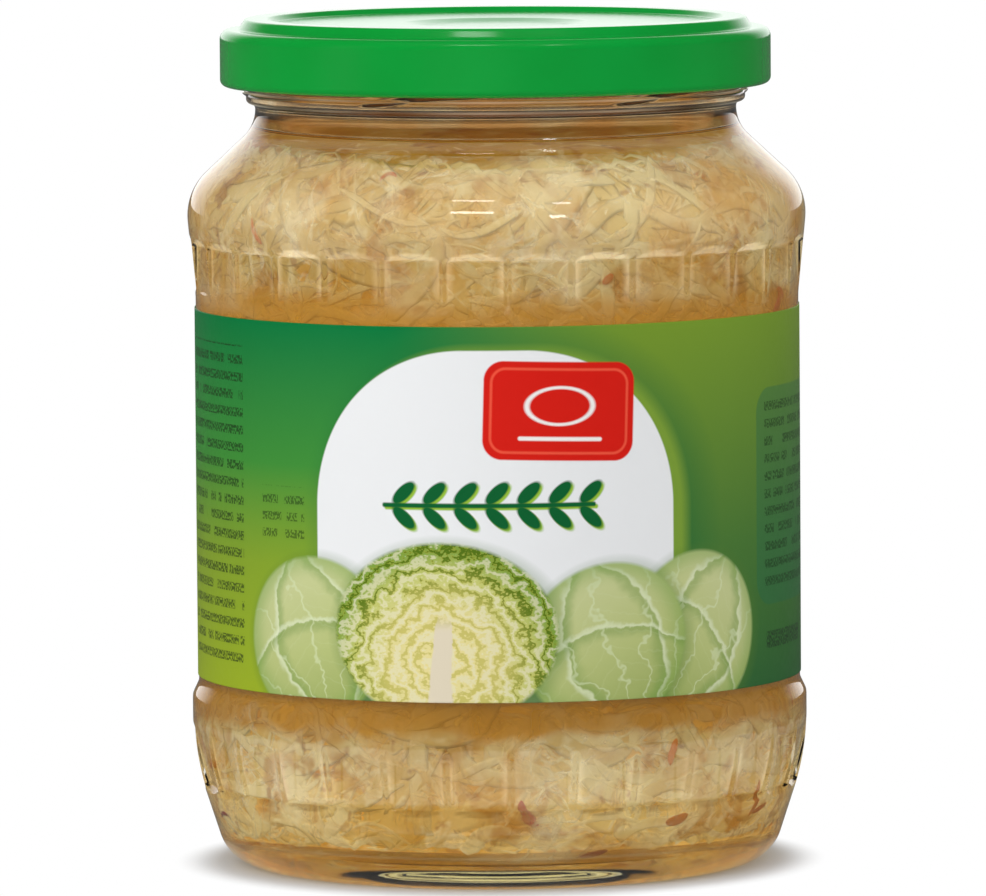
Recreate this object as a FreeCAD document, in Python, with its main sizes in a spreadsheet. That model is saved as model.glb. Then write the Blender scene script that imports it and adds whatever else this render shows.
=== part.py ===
"""A closed twist-off preserving jar of sauerkraut, nominal 720 ml, 82 mm closure.

The frame has its origin at the middle of the base, +Z up, and -Y towards the front of the label.
Lengths are millimetres and angles are degrees.

Nodes:
  jar         pressed and blown glass: push-up base, a ring of shallow flats below and above the
              label panel, rounded shoulder, neck bead and six slanting thread ridges
  sauerkraut  the packed shredded cabbage, out to the glass and up to its uneven top
  brine       the clear liquid that stands above the cabbage
  label       wrap-around paper label, lapped at the back
  lid         pressed tinplate cap: raised ring, skirt, rolled edge and six gripping lugs
  lid_seal    the soft sealing ring between the cap and the glass rim
"""

import FreeCAD, Part
import Sketcher
import math
import os

FULL_TURN = 360.0
SHEET = "Sizes"

# Driving dimensions. Each row is the alias, its value and what it is.
SIZES = [
    # glass body, outside, from the floor up
    ("panel_radius", 46.8, "outside of the glass under the label"),
    ("belly_spread", 1.0, "how far the belly ring below the label stands out from the panel"),
    ("belly_taper", 5.6, "how far the side draws in from the belly to the floor, before its rounding"),
    ("belly_bottom", 17.2, "height where the belly starts to draw in"),
    ("belly_height", 9.2, "height of the belly ring"),
    ("belly_bend", 40.0, "bend radius of the belly towards the heel"),
    ("belly_edge_bend", 1.6, "rounding of the belly ring's upper edge"),
    ("belly_step", 2.1, "height of the slope from the belly ring to the label panel"),
    ("heel_bend", 6.5, "bend radius of the heel"),
    ("panel_height", 59.9, "height of the label panel"),
    ("panel_bend", 1.2, "rounding where the panel meets the belly and the shoulder"),
    ("shoulder_spread", 1.5, "how far the shoulder's corner stands out from the panel"),
    ("shoulder_rise", 16.1, "height from the panel to the shoulder's corner, before its rounding"),
    ("shoulder_bend", 9.0, "bend radius of the shoulder"),
    ("neck_rise", 10.3, "height from the shoulder's corner to the neck's"),
    ("neck_bend", 6.0, "bend radius into the neck"),
    ("neck_waist", 0.6, "how far the neck is drawn in from the threaded mouth"),
    ("bead_rise", 3.5, "height from the neck's corner to the bead"),
    ("bead_proud", 0.8, "how far the bead stands out of the threaded mouth"),
    ("bead_height", 1.9, "height of the neck bead"),
    ("bead_bend", 0.5, "rounding of the bead"),
    ("finish_radius", 37.9, "outside of the threaded mouth"),
    ("finish_height", 9.9, "height of the threaded mouth above the bead"),
    ("rim_bend", 1.1, "rounding of the rim"),
    # glass body, inside and base
    ("wall", 2.4, "glass thickness at the label panel"),
    ("finish_wall", 2.9, "glass thickness at the threaded mouth"),
    ("shoulder_wall", 2.3, "glass thickness under the shoulder, measured down"),
    ("inner_shoulder_bend", 8.0, "bend radius inside the shoulder"),
    ("inner_neck_bend", 5.0, "bend radius inside the neck"),
    ("floor_edge", 3.2, "height of the inside floor at the wall"),
    ("inner_heel_bend", 10.0, "bend radius inside the heel"),
    ("floor_wall", 3.2, "glass thickness at the middle of the floor"),
    ("floor_crown_inset", 3.0, "how far the raised floor's edge lies inside the hollow's edge"),
    ("bearing_inset", 8.2, "width under the heel, out from the ring that the jar stands on"),
    ("punt_slope", 7.0, "width of the slope into the hollow under the base"),
    ("punt_height", 2.2, "depth of the hollow under the base"),
    ("punt_bend", 3.0, "bend radius of that hollow"),
    # flats around the glass
    ("flat_count", 30.0, "flats in each ring"),
    ("rib_width", 0.6, "width of the rib left between two flats"),
    ("flat_deep", 0.85, "depth of a flat at its deep end, by the shoulder or the heel"),
    ("flat_shallow", 0.3, "depth of a flat at its shallow end, by the label"),
    ("flat_run", 1.5, "height of the slope at each end of a flat"),
    ("upper_flat_rise", 0.4, "height from the panel to the upper flats"),
    ("upper_flat_height", 9.1, "height of an upper flat"),
    ("lower_flat_drop", 4.0, "height from the lower flats to the belly ring's upper edge"),
    ("lower_flat_height", 10.8, "height of a lower flat"),
    ("flat_turn", 2.0, "turn of the glass about its axis"),
    # threads
    ("thread_count", 6.0, "thread ridges, and lugs on the cap"),
    ("thread_section", 1.0, "radius of a ridge's section"),
    ("thread_proud", 0.95, "how far a ridge stands out of the mouth"),
    ("thread_sweep", 50.0, "angle that a ridge covers"),
    ("thread_tilt", 5.5, "slope of a ridge"),
    ("thread_drop", 8.2, "height from a ridge's middle to the rim"),
    ("thread_turn", -36.5, "angle from +X to the middle of the first ridge"),
    # label
    ("label_lower_margin", 1.1, "height from the panel's lower end to the label"),
    ("label_upper_margin", 1.7, "height from the label to the panel's upper end"),
    ("label_gap", 0.02, "glue line behind the label"),
    ("label_thickness", 0.13, "thickness of the label paper"),
    ("label_lap", 9.0, "angle of the lap at the back"),
    # cap
    ("cap_room", 3.85, "distance from the thread ridges to the outside of the cap's skirt"),
    ("cap_sheet", 0.3, "thickness of the tinplate"),
    ("skirt_height", 8.8, "height from the cap's lower edge to its outer ledge"),
    ("cap_corner", 1.5, "rounding of the skirt's top corner"),
    ("ring_rise", 1.6, "height of the raised ring above the outer ledge"),
    ("ring_overhang", 0.9, "how far the raised ring reaches out past the mouth's outside"),
    ("ring_inset", 0.4, "how far the raised ring starts out from the mouth's inside"),
    ("ring_slope", 1.0, "width of the slopes beside the ring"),
    ("ring_bend", 0.6, "rounding of the ring's edges"),
    ("panel_drop", 0.8, "drop from the ring to the middle panel"),
    ("button_radius", 12.0, "radius of the vacuum button"),
    ("button_drop", 0.5, "drop from the middle panel to the button"),
    ("button_slope", 2.5, "width of the slope around the button"),
    ("roll_width", 2.3, "width of the rolled edge"),
    ("roll_height", 2.2, "height of the rolled edge"),
    ("roll_bend", 1.05, "rounding of the rolled edge"),
    ("lug_gap", 0.45, "clearance from a lug to the thread ridges"),
    ("lug_height", 0.9, "thickness of a lug"),
    ("lug_sweep", 13.0, "angle that a lug covers"),
    ("seal_height", 0.95, "thickness of the sealing ring"),
    ("seal_gap", 0.02, "clearance above and below the sealing ring"),
    # contents
    ("fill_gap", 0.1, "clearance between the contents and the glass"),
    ("headspace", 17.2, "height from the liquid's surface to the rim"),
    ("brine_depth", 2.8, "mean depth of the liquid above the cabbage"),
    ("cabbage_wave", 0.8, "height of the unevenness of the cabbage's top"),
    ("cabbage_wave_length", 26.0, "distance between its humps"),
]


class Size:
    """A number together with the expression text that gives it from the sheet."""

    def __init__(self, value, text):
        self.value = value
        self.text = text

    def _with(self, other, value, sign):
        text = other.text if isinstance(other, Size) else repr(other)
        return Size(value, "(" + self.text + " " + sign + " " + text + ")")

    def __add__(self, other):
        return self._with(other, self.value + number(other), "+")

    def __sub__(self, other):
        return self._with(other, self.value - number(other), "-")

    def __mul__(self, other):
        return self._with(other, self.value * number(other), "*")

    def __truediv__(self, other):
        return self._with(other, self.value / number(other), "/")


def number(value):
    """The plain number of a Size or of a number."""
    return value.value if isinstance(value, Size) else float(value)


def make_sheet(doc):
    """Writes the driving dimensions into the sheet, and returns them by alias."""
    sheet = doc.addObject("Spreadsheet::Sheet", SHEET)
    sizes = {}
    for row, (alias, value, note) in enumerate(SIZES, start=1):
        sheet.set("A%d" % row, note)
        sheet.set("B%d" % row, str(value))
        sheet.setAlias("B%d" % row, alias)
    doc.recompute()
    for alias, _, _ in SIZES:
        sizes[alias] = Size(float(sheet.get(alias)), SHEET + "." + alias)
    return sizes


def derive(s):
    """Adds the radii and heights that follow from the driving dimensions."""
    s["belly_radius"] = s["panel_radius"] + s["belly_spread"]
    s["belly_draw"] = s["belly_radius"] - s["belly_taper"]
    s["bearing_radius"] = s["belly_draw"] - s["bearing_inset"]
    s["punt_radius"] = s["bearing_radius"] - s["punt_slope"]
    s["floor_crown_radius"] = s["punt_radius"] - s["floor_crown_inset"]
    s["floor_crown"] = s["punt_height"] + s["floor_wall"]
    s["shoulder_radius"] = s["panel_radius"] + s["shoulder_spread"]
    s["neck_radius"] = s["finish_radius"] - s["neck_waist"]
    s["bead_radius"] = s["finish_radius"] + s["bead_proud"]
    s["mouth_radius"] = s["finish_radius"] - s["finish_wall"]
    s["thread_radius"] = s["finish_radius"] + s["thread_proud"]

    s["belly_top"] = s["belly_bottom"] + s["belly_height"]
    s["panel_bottom"] = s["belly_top"] + s["belly_step"]
    s["panel_top"] = s["panel_bottom"] + s["panel_height"]
    s["shoulder_height"] = s["panel_top"] + s["shoulder_rise"]
    s["neck_height"] = s["shoulder_height"] + s["neck_rise"]
    s["bead_bottom"] = s["neck_height"] + s["bead_rise"]
    s["bead_top"] = s["bead_bottom"] + s["bead_height"]
    s["rim_height"] = s["bead_top"] + s["finish_height"]
    s["thread_height"] = s["rim_height"] - s["thread_drop"]

    s["flat_width"] = s["panel_radius"] * (2 * math.pi) / s["flat_count"] - s["rib_width"]
    s["upper_flat_bottom"] = s["panel_top"] + s["upper_flat_rise"]
    s["upper_flat_top"] = s["upper_flat_bottom"] + s["upper_flat_height"]
    s["lower_flat_top"] = s["belly_top"] - s["lower_flat_drop"]
    s["lower_flat_bottom"] = s["lower_flat_top"] - s["lower_flat_height"]

    s["label_bottom"] = s["panel_bottom"] + s["label_lower_margin"]
    s["label_top"] = s["panel_top"] - s["label_upper_margin"]

    s["seal_bottom"] = s["rim_height"] + s["seal_gap"]
    s["seal_top"] = s["seal_bottom"] + s["seal_height"]
    s["ring_height"] = s["seal_top"] + s["seal_gap"] + s["cap_sheet"]
    s["cap_ledge"] = s["ring_height"] - s["ring_rise"]
    s["cap_bottom"] = s["cap_ledge"] - s["skirt_height"]
    s["cap_radius"] = s["thread_radius"] + s["cap_room"]
    s["ring_outer"] = s["finish_radius"] + s["ring_overhang"]
    s["ring_inner"] = s["mouth_radius"] + s["ring_inset"]

    s["brine_level"] = s["rim_height"] - s["headspace"]
    s["cabbage_level"] = s["brine_level"] - s["brine_depth"]


def bind(obj, **properties):
    """Binds properties of an object to sizes."""
    for name, size in properties.items():
        obj.setExpression(name, size.text)


def origin_feature(body, role):
    """The plane or axis of a body's origin with this role."""
    for feature in body.Origin.OriginFeatures:
        if feature.Role == role:
            return feature
    raise RuntimeError("the body has no " + role)


def new_body(doc, name):
    """An empty body whose Label is its name."""
    body = doc.addObject("PartDesign::Body", name)
    body.Label = name
    return body


def new_sketch(body, name, role="XZ_Plane"):
    """An empty sketch on one of the body's origin planes. On XZ_Plane, x is radius and y is height."""
    sketch = body.newObject("Sketcher::SketchObject", name)
    sketch.AttachmentSupport = [(origin_feature(body, role), "")]
    sketch.MapMode = "FlatFace"
    return sketch


def constrain(sketch, size, *arguments):
    """Adds a dimension and binds it to the sheet."""
    index = sketch.addConstraint(Sketcher.Constraint(*arguments, size.value))
    sketch.setExpression("Constraints[%d]" % index, size.text)


def place_point(sketch, geometry, position, x, y):
    """Holds a point at x, y. None for either puts the point on that axis of the sketch."""
    if x is None:
        sketch.addConstraint(Sketcher.Constraint("PointOnObject", geometry, position, -2))
    else:
        constrain(sketch, x, "DistanceX", -1, 1, geometry, position)
    if y is None:
        sketch.addConstraint(Sketcher.Constraint("PointOnObject", geometry, position, -1))
    else:
        constrain(sketch, y, "DistanceY", -1, 1, geometry, position)


def outline(sketch, corners):
    """Draws a closed outline through corners (x, y, bend), rounded by bend where one is given.

    A rounded corner is an arc tangent to both sides. A point stands at the corner itself, on both
    sides, and carries the corner's dimensions.
    """
    spots = [FreeCAD.Vector(number(x or 0), number(y or 0), 0) for x, y, _ in corners]
    count = len(corners)
    starts, ends, arcs = [], [], []
    for i, (_, _, bend) in enumerate(corners):
        before = (spots[i - 1] - spots[i]).normalize()
        after = (spots[(i + 1) % count] - spots[i]).normalize()
        if bend is None:
            ends.append(spots[i])
            starts.append(spots[i])
            arcs.append(None)
            continue
        half = before.getAngle(after) / 2
        reach = bend.value / math.tan(half)
        ends.append(spots[i] + before * reach)
        starts.append(spots[i] + after * reach)
        middle = spots[i] + (before + after).normalize() * (bend.value / math.sin(half))
        left = before.cross(after).z < 0
        first, last = (ends[i], starts[i]) if left else (starts[i], ends[i])
        angles = [math.atan2(p.y - middle.y, p.x - middle.x) for p in (first, last)]
        circle = Part.Circle(middle, FreeCAD.Vector(0, 0, 1), bend.value)
        arcs.append((Part.ArcOfCircle(circle, angles[0], angles[1]), left))
    lines = [
        sketch.addGeometry(Part.LineSegment(starts[i], ends[(i + 1) % count]), False)
        for i in range(count)
    ]
    for i, (x, y, bend) in enumerate(corners):
        incoming, outgoing = lines[i - 1], lines[i]
        if bend is None:
            sketch.addConstraint(Sketcher.Constraint("Coincident", incoming, 2, outgoing, 1))
            place_point(sketch, outgoing, 1, x, y)
            continue
        shape, left = arcs[i]
        arc = sketch.addGeometry(shape, False)
        near, far = (1, 2) if left else (2, 1)
        sketch.addConstraint(Sketcher.Constraint("Tangent", incoming, 2, arc, near))
        sketch.addConstraint(Sketcher.Constraint("Tangent", arc, far, outgoing, 1))
        constrain(sketch, bend, "Radius", arc)
        corner = sketch.addGeometry(Part.Point(spots[i]), True)
        sketch.addConstraint(Sketcher.Constraint("PointOnObject", corner, 1, incoming))
        sketch.addConstraint(Sketcher.Constraint("PointOnObject", corner, 1, outgoing))
        place_point(sketch, corner, 1, x, y)
    if sketch.solve() != 0:
        raise RuntimeError("the outline of " + sketch.Label + " can't be solved")


def revolve(body, name, corners, angle=FULL_TURN):
    """Adds a revolution of an outline about the upright axis, centred on the sketch's plane."""
    sketch = new_sketch(body, name + "_outline")
    outline(sketch, corners)
    turned = body.newObject("PartDesign::Revolution", name)
    turned.Profile = sketch
    turned.ReferenceAxis = (sketch, ["V_Axis"])
    if isinstance(angle, Size):
        turned.Midplane = True
        bind(turned, Angle=angle)
    else:
        turned.Angle = angle
    return turned


def about_z(angle):
    """A placement that turns about the upright axis."""
    return FreeCAD.Placement(FreeCAD.Vector(), FreeCAD.Rotation(FreeCAD.Vector(0, 0, 1), angle))


def turn_from_sheet(obj, size):
    """Turns an object about the upright axis by an angle from the sheet."""
    obj.Placement = about_z(size.value)
    obj.setExpression("Placement.Rotation.Angle", size.text)


def outer_corners(s):
    """The outside of the glass, from the middle of the base up to the rim."""
    return [
        (None, s["punt_height"], None),
        (s["punt_radius"], s["punt_height"], s["punt_bend"]),
        (s["bearing_radius"], None, s["punt_bend"]),
        (s["belly_draw"], None, s["heel_bend"]),
        (s["belly_radius"], s["belly_bottom"], s["belly_bend"]),
        (s["belly_radius"], s["belly_top"], s["belly_edge_bend"]),
        (s["panel_radius"], s["panel_bottom"], s["panel_bend"]),
        (s["panel_radius"], s["panel_top"], s["panel_bend"]),
        (s["shoulder_radius"], s["shoulder_height"], s["shoulder_bend"]),
        (s["neck_radius"], s["neck_height"], s["neck_bend"]),
        (s["neck_radius"], s["bead_bottom"], None),
        (s["bead_radius"], s["bead_bottom"], s["bead_bend"]),
        (s["bead_radius"], s["bead_top"], s["bead_bend"]),
        (s["finish_radius"], s["bead_top"], None),
        (s["finish_radius"], s["rim_height"], s["rim_bend"]),
    ]


def inner_corners(s, gap, top):
    """The inside of the glass, taken in by gap, from the height top down to the middle of the floor."""
    side = s["panel_radius"] - s["wall"] - gap
    neck = s["mouth_radius"] - gap
    drop = s["shoulder_wall"] + gap
    return [
        (neck, top, None),
        (neck, s["neck_height"] - drop, s["inner_neck_bend"]),
        (side, s["shoulder_height"] - drop, s["inner_shoulder_bend"]),
        (side, s["floor_edge"] + gap, s["inner_heel_bend"]),
        (s["floor_crown_radius"], s["floor_crown"] + gap, s["inner_heel_bend"]),
        (None, s["floor_crown"] + gap, None),
    ]


def facet(body, name, s, low, high, radius_at):
    """Cuts one flat, between two heights with a depth each. radius_at gives the glass at a height.

    The flat is plane across the glass. At each end it slopes out through the surface.
    """
    (bottom, bottom_depth), (top, top_depth) = low, high
    reach = s["flat_run"] * 2
    corners = [
        (radius_at(bottom) - bottom_depth, bottom + s["flat_run"] / 2, None),
        (radius_at(bottom) + reach, bottom - s["flat_run"], None),
        (radius_at(top) + reach, top + s["flat_run"], None),
        (radius_at(top) - top_depth, top - s["flat_run"] / 2, None),
    ]
    sketch = new_sketch(body, name + "_outline")
    outline(sketch, corners)
    pocket = body.newObject("PartDesign::Pocket", name)
    pocket.Profile = sketch
    pocket.Midplane = True
    bind(pocket, Length=s["flat_width"])
    return pocket


def upper_side(s):
    """Gives the radius of the sloping side above the label at a height."""
    rise = s["shoulder_height"] - s["panel_top"]
    spread = s["shoulder_radius"] - s["panel_radius"]
    return lambda height: s["panel_radius"] + spread * (height - s["panel_top"]) / rise


def lower_side(s):
    """Gives the radius of the side below the label at a height, as a chord of its bend."""
    spread = s["belly_radius"] - s["belly_draw"]
    slope = spread / s["belly_bottom"]
    bottom = s["belly_draw"] + slope * s["lower_flat_bottom"]
    chord = (s["belly_radius"] - bottom) / (s["lower_flat_top"] - s["lower_flat_bottom"])
    return lambda height: bottom + chord * (height - s["lower_flat_bottom"])


def make_jar(doc, s):
    """The glass: a revolved wall, two rings of flats and the thread ridges."""
    body = new_body(doc, "jar_glass")
    rim = [(s["mouth_radius"], s["rim_height"], s["rim_bend"])]
    inside = inner_corners(s, Size(0.0, "0"), s["rim_height"])[1:]
    revolve(body, "jar_wall", outer_corners(s) + rim + inside)
    doc.recompute()
    solid = body.Shape.Volume
    shallow, deep = s["flat_shallow"], s["flat_deep"]
    upper = (s["upper_flat_bottom"], shallow), (s["upper_flat_top"], deep)
    lower = (s["lower_flat_bottom"], deep), (s["lower_flat_top"], shallow)
    cuts = [
        facet(body, "upper_flat", s, *upper, upper_side(s)),
        facet(body, "lower_flat", s, *lower, lower_side(s)),
    ]
    pattern = body.newObject("PartDesign::PolarPattern", "flats")
    pattern.Originals = cuts
    pattern.Axis = (origin_feature(body, "Z_Axis"), [""])
    pattern.Angle = FULL_TURN
    bind(pattern, Occurrences=s["flat_count"])
    body.Tip = pattern
    doc.recompute()
    if body.Shape.Volume > solid * 0.9999:
        raise RuntimeError("the flats cut nothing")
    turn_from_sheet(body, s["flat_turn"])
    ridges = [make_ridge(doc, s, i) for i in range(int(s["thread_count"].value))]
    jar = doc.addObject("Part::MultiFuse", "jar")
    jar.Shapes = [body] + ridges
    jar.Label = "jar"
    return jar


def make_ridge(doc, s, index):
    """One thread ridge: a piece of a thin ring, tilted about the line from the axis to its middle."""
    ridge = doc.addObject("Part::Torus", "ridge_%d" % index)
    ring = s["thread_radius"] - s["thread_section"]
    bind(ridge, Radius1=ring, Radius2=s["thread_section"], Angle3=s["thread_sweep"])
    middle = s["thread_turn"].value + index * FULL_TURN / s["thread_count"].value
    outward = FreeCAD.Vector(math.cos(math.radians(middle)), math.sin(math.radians(middle)), 0)
    centred = about_z(middle - s["thread_sweep"].value / 2).Rotation
    tilted = FreeCAD.Rotation(outward, s["thread_tilt"].value)
    height = FreeCAD.Vector(0, 0, s["thread_height"].value)
    ridge.Placement = FreeCAD.Placement(height, tilted.multiply(centred))
    return ridge


def make_label(doc, s):
    """The paper band, and the lap of its end over its start at the back."""
    body = new_body(doc, "label")
    inside = s["panel_radius"] + s["label_gap"]
    outside = inside + s["label_thickness"]
    revolve(body, "band", band(inside, outside, s["label_bottom"], s["label_top"]))
    lapped = outside + s["label_thickness"]
    revolve(body, "lap", band(outside, lapped, s["label_bottom"], s["label_top"]), s["label_lap"])
    body.Placement = about_z(FULL_TURN / 4)
    return body


def band(inside, outside, bottom, top):
    """A rectangle from one radius to another, between two heights."""
    return [
        (inside, bottom, None),
        (outside, bottom, None),
        (outside, top, None),
        (inside, top, None),
    ]


def make_lid(doc, s):
    """The cap: one sheet of tinplate with its rolled edge, and the lugs."""
    body = new_body(doc, "lid")
    sheet = s["cap_sheet"]
    panel = s["ring_height"] - s["panel_drop"]
    button = panel - s["button_drop"]
    above = [
        (None, button),
        (s["button_radius"], button),
        (s["button_radius"] + s["button_slope"], panel),
        (s["ring_inner"] - s["ring_slope"], panel),
        (s["ring_inner"], s["ring_height"]),
        (s["ring_outer"], s["ring_height"]),
        (s["ring_outer"] + s["ring_slope"], s["cap_ledge"]),
    ]
    bend = s["ring_bend"]
    top = [(r, z, bend if r is not None else None) for r, z in above]
    below = [(r, z - sheet, bend if r is not None else None) for r, z in reversed(above)]
    roll_inner = s["cap_radius"] - s["roll_width"]
    roll_top = s["cap_bottom"] + s["roll_height"]
    skirt = [
        (s["cap_radius"], s["cap_ledge"], s["cap_corner"]),
        (s["cap_radius"], s["cap_bottom"], s["roll_bend"]),
        (roll_inner, s["cap_bottom"], s["roll_bend"]),
        (roll_inner, roll_top, s["roll_bend"]),
        (s["cap_radius"] - sheet, roll_top, None),
        (s["cap_radius"] - sheet, s["cap_ledge"] - sheet, s["cap_corner"] - sheet),
    ]
    revolve(body, "cap", top + skirt + below)
    doc.recompute()
    bare = body.Shape.Volume
    inside = s["thread_radius"] + s["lug_gap"]
    middle = s["cap_bottom"] + s["roll_height"] / 2
    low, high = middle - s["lug_height"] / 2, middle + s["lug_height"] / 2
    lug = revolve(body, "lug", band(inside, roll_inner + s["roll_bend"], low, high), s["lug_sweep"])
    pattern = body.newObject("PartDesign::PolarPattern", "lugs")
    pattern.Originals = [lug]
    pattern.Axis = (origin_feature(body, "Z_Axis"), [""])
    pattern.Angle = FULL_TURN
    bind(pattern, Occurrences=s["thread_count"])
    body.Tip = pattern
    doc.recompute()
    if body.Shape.Volume <= bare:
        raise RuntimeError("the lugs add nothing")
    return body


def make_seal(doc, s):
    """The ring of sealing compound, between the raised ring of the cap and the rim."""
    body = new_body(doc, "lid_seal")
    inside = s["ring_inner"] + s["ring_bend"]
    outside = s["ring_outer"] - s["ring_bend"]
    revolve(body, "compound", band(inside, outside, s["seal_bottom"], s["seal_top"]))
    return body


def make_inside(doc, s):
    """The space inside the glass, up to the rim, less a small clearance."""
    body = new_body(doc, "inside")
    axis_top = [(None, s["rim_height"], None)]
    revolve(body, "space", axis_top + inner_corners(s, s["fill_gap"], s["rim_height"]))
    return body


def make_space_above(doc, s, name, lift):
    """All space above the uneven top of the cabbage, lifted by lift.

    The top is a sum of two waves across each other and a third that runs aslant, so that its humps
    differ in size.
    """
    half = s["panel_radius"].value
    steps = 16
    level = s["cabbage_level"].value + lift
    wave = s["cabbage_wave"].value
    k = 2 * math.pi / s["cabbage_wave_length"].value

    def height(x, y):
        across = math.sin(k * x + 0.6) * math.cos(k * y)
        aslant = math.sin(k * (0.55 * x - 0.8 * y) + 1.1)
        return level + wave * (0.6 * across + 0.4 * aslant)

    spots = [-half + 2 * half * i / steps for i in range(steps + 1)]
    grid = [[FreeCAD.Vector(x, y, height(x, y)) for y in spots] for x in spots]
    surface = Part.BSplineSurface()
    surface.interpolate(grid)
    space = doc.addObject("Part::Feature", name)
    space.Shape = surface.toShape().extrude(FreeCAD.Vector(0, 0, s["rim_height"].value))
    return space


def make_contents(doc, s):
    """The packed cabbage up to its uneven top, and the clear brine above it."""
    inside = make_inside(doc, s)
    cabbage = doc.addObject("Part::Cut", "sauerkraut")
    cabbage.Base = inside
    cabbage.Tool = make_space_above(doc, s, "above_cabbage", 0.0)
    below_surface = doc.addObject("Part::Cylinder", "below_surface")
    bind(below_surface, Radius=s["panel_radius"], Height=s["brine_level"])
    brine = doc.addObject("Part::MultiCommon", "brine")
    gap = s["fill_gap"].value
    brine.Shapes = [inside, below_surface, make_space_above(doc, s, "brine_space", gap)]
    cabbage.Label = "sauerkraut"
    brine.Label = "brine"
    return [cabbage, brine]


def check(doc, nodes):
    """Stops the build if an object failed or a node isn't one valid solid."""
    for obj in doc.Objects:
        if "Invalid" in obj.State or "Error" in obj.State:
            raise RuntimeError(obj.Label + " failed: " + ", ".join(obj.State))
    for node in nodes:
        if node.Shape.isNull() or not node.Shape.isValid() or len(node.Shape.Solids) != 1:
            raise RuntimeError(node.Label + " isn't one valid solid")


def main():
    doc = FreeCAD.newDocument("sauerkraut_jar")
    s = make_sheet(doc)
    derive(s)
    nodes = [make_jar(doc, s), make_label(doc, s), make_lid(doc, s), make_seal(doc, s)]
    nodes += make_contents(doc, s)
    doc.recompute()
    check(doc, nodes)
    os.makedirs("parts", exist_ok=True)
    for node in nodes:
        node.Shape.exportStep(os.path.join("parts", node.Label + ".step"))
        print("%-12s %10.1f mm3" % (node.Label, node.Shape.Volume))


main()
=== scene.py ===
"""A closed jar of sauerkraut: clear glass, green twist-off cap and a wrap-around paper label.

The jar stands on z = 0 with its axis on Z, and the front of the label faces -Y. Profiles are written in
millimetres as (radius, height) and become metres when a mesh is made.
"""

import math

import bpy
import numpy as np
from mathutils import Matrix, Vector


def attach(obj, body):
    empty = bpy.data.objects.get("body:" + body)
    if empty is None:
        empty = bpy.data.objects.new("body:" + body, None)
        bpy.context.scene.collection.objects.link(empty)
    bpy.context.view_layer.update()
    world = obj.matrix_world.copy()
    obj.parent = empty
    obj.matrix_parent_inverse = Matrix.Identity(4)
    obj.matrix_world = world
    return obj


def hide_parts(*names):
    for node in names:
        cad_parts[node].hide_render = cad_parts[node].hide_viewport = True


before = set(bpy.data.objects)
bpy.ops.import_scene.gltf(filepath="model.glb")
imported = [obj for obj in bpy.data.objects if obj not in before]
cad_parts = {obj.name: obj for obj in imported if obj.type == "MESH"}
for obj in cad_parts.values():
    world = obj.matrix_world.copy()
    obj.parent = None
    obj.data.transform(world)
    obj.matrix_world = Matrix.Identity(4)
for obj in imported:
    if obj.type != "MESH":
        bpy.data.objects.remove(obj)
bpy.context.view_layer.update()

MM = 0.001

# The glass, in millimetres.
PANEL_R = 46.8
PANEL_LOW, PANEL_HIGH = 28.5, 88.4
SHOULDER_R, SHOULDER_Z = 48.3, 104.5
BELLY_R, BELLY_LOW, BELLY_HIGH = 47.8, 17.2, 26.4
NECK_R, NECK_Z = 37.3, 114.8
BEAD_R, BEAD_LOW, BEAD_HIGH = 38.7, 118.3, 120.2
FINISH_R, MOUTH_R, RIM_Z = 37.9, 35.0, 130.1
INNER_R, HEEL_Z, FLOOR_Z = 44.4, 3.2, 5.4
PUNT_Z = 2.2
BRINE_Z = 112.9
FLAT_COUNT, FLAT_TURN = 30, 2.0
LABEL_LOW, LABEL_HIGH = 29.6, 86.7
PAPER, GLUE = 0.13, 0.03


# ---------------------------------------------------------------- shapes


def rounded(corners, step=0.12):
    """The outline through corners (x, y, bend), as an array of points about step apart.

    At a corner with a bend, the outline leaves one side and joins the next along an arc of that radius
    tangent to both.
    """
    runs = []
    for i, (x, y, bend) in enumerate(corners):
        here = np.array((x, y), float)
        if not bend or i in (0, len(corners) - 1):
            runs.append(here[None])
            continue
        to_last = np.array(corners[i - 1][:2], float) - here
        to_next = np.array(corners[i + 1][:2], float) - here
        to_last /= np.linalg.norm(to_last)
        to_next /= np.linalg.norm(to_next)
        half = math.acos(np.clip(to_last @ to_next, -1, 1)) / 2
        middle = to_last + to_next
        centre = here + middle / np.linalg.norm(middle) * bend / math.sin(half)
        first = here + to_last * bend / math.tan(half) - centre
        turn = math.pi - 2 * half
        cross = first[0] * to_last[1] - first[1] * to_last[0]
        angles = np.linspace(0, turn if cross < 0 else -turn, max(4, int(turn * bend / step)))
        cos, sin = np.cos(angles), np.sin(angles)
        arc = np.stack([first[0] * cos - first[1] * sin, first[0] * sin + first[1] * cos], 1)
        runs.append(centre + arc)
    path = np.concatenate(runs)
    return evenly(path, np.full(len(path), step))


def evenly(path, spacing):
    """The path resampled so that its points are spacing apart, where spacing is given at each point."""
    lengths = np.linalg.norm(np.diff(path, axis=0), axis=1)
    keep = np.concatenate([[True], lengths > 1e-6])
    path, spacing = path[keep], spacing[keep]
    lengths = np.linalg.norm(np.diff(path, axis=0), axis=1)
    counts = np.concatenate([[0], np.cumsum(lengths / ((spacing[1:] + spacing[:-1]) / 2))])
    wanted = np.linspace(0, counts[-1], int(math.ceil(counts[-1])) + 1)
    return np.stack([np.interp(wanted, counts, path[:, axis]) for axis in range(2)], 1)


def grid_faces(rows, columns, wrap=True, offset=0):
    """Quads of a grid stored row by row. With wrap, the last column joins the first."""
    r, c = np.meshgrid(np.arange(rows - 1), np.arange(columns if wrap else columns - 1), indexing="ij")
    r, c = r.ravel(), c.ravel()
    after = (c + 1) % columns
    return offset + np.stack([r * columns + c, r * columns + after, (r + 1) * columns + after,
                              (r + 1) * columns + c], 1)


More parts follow.
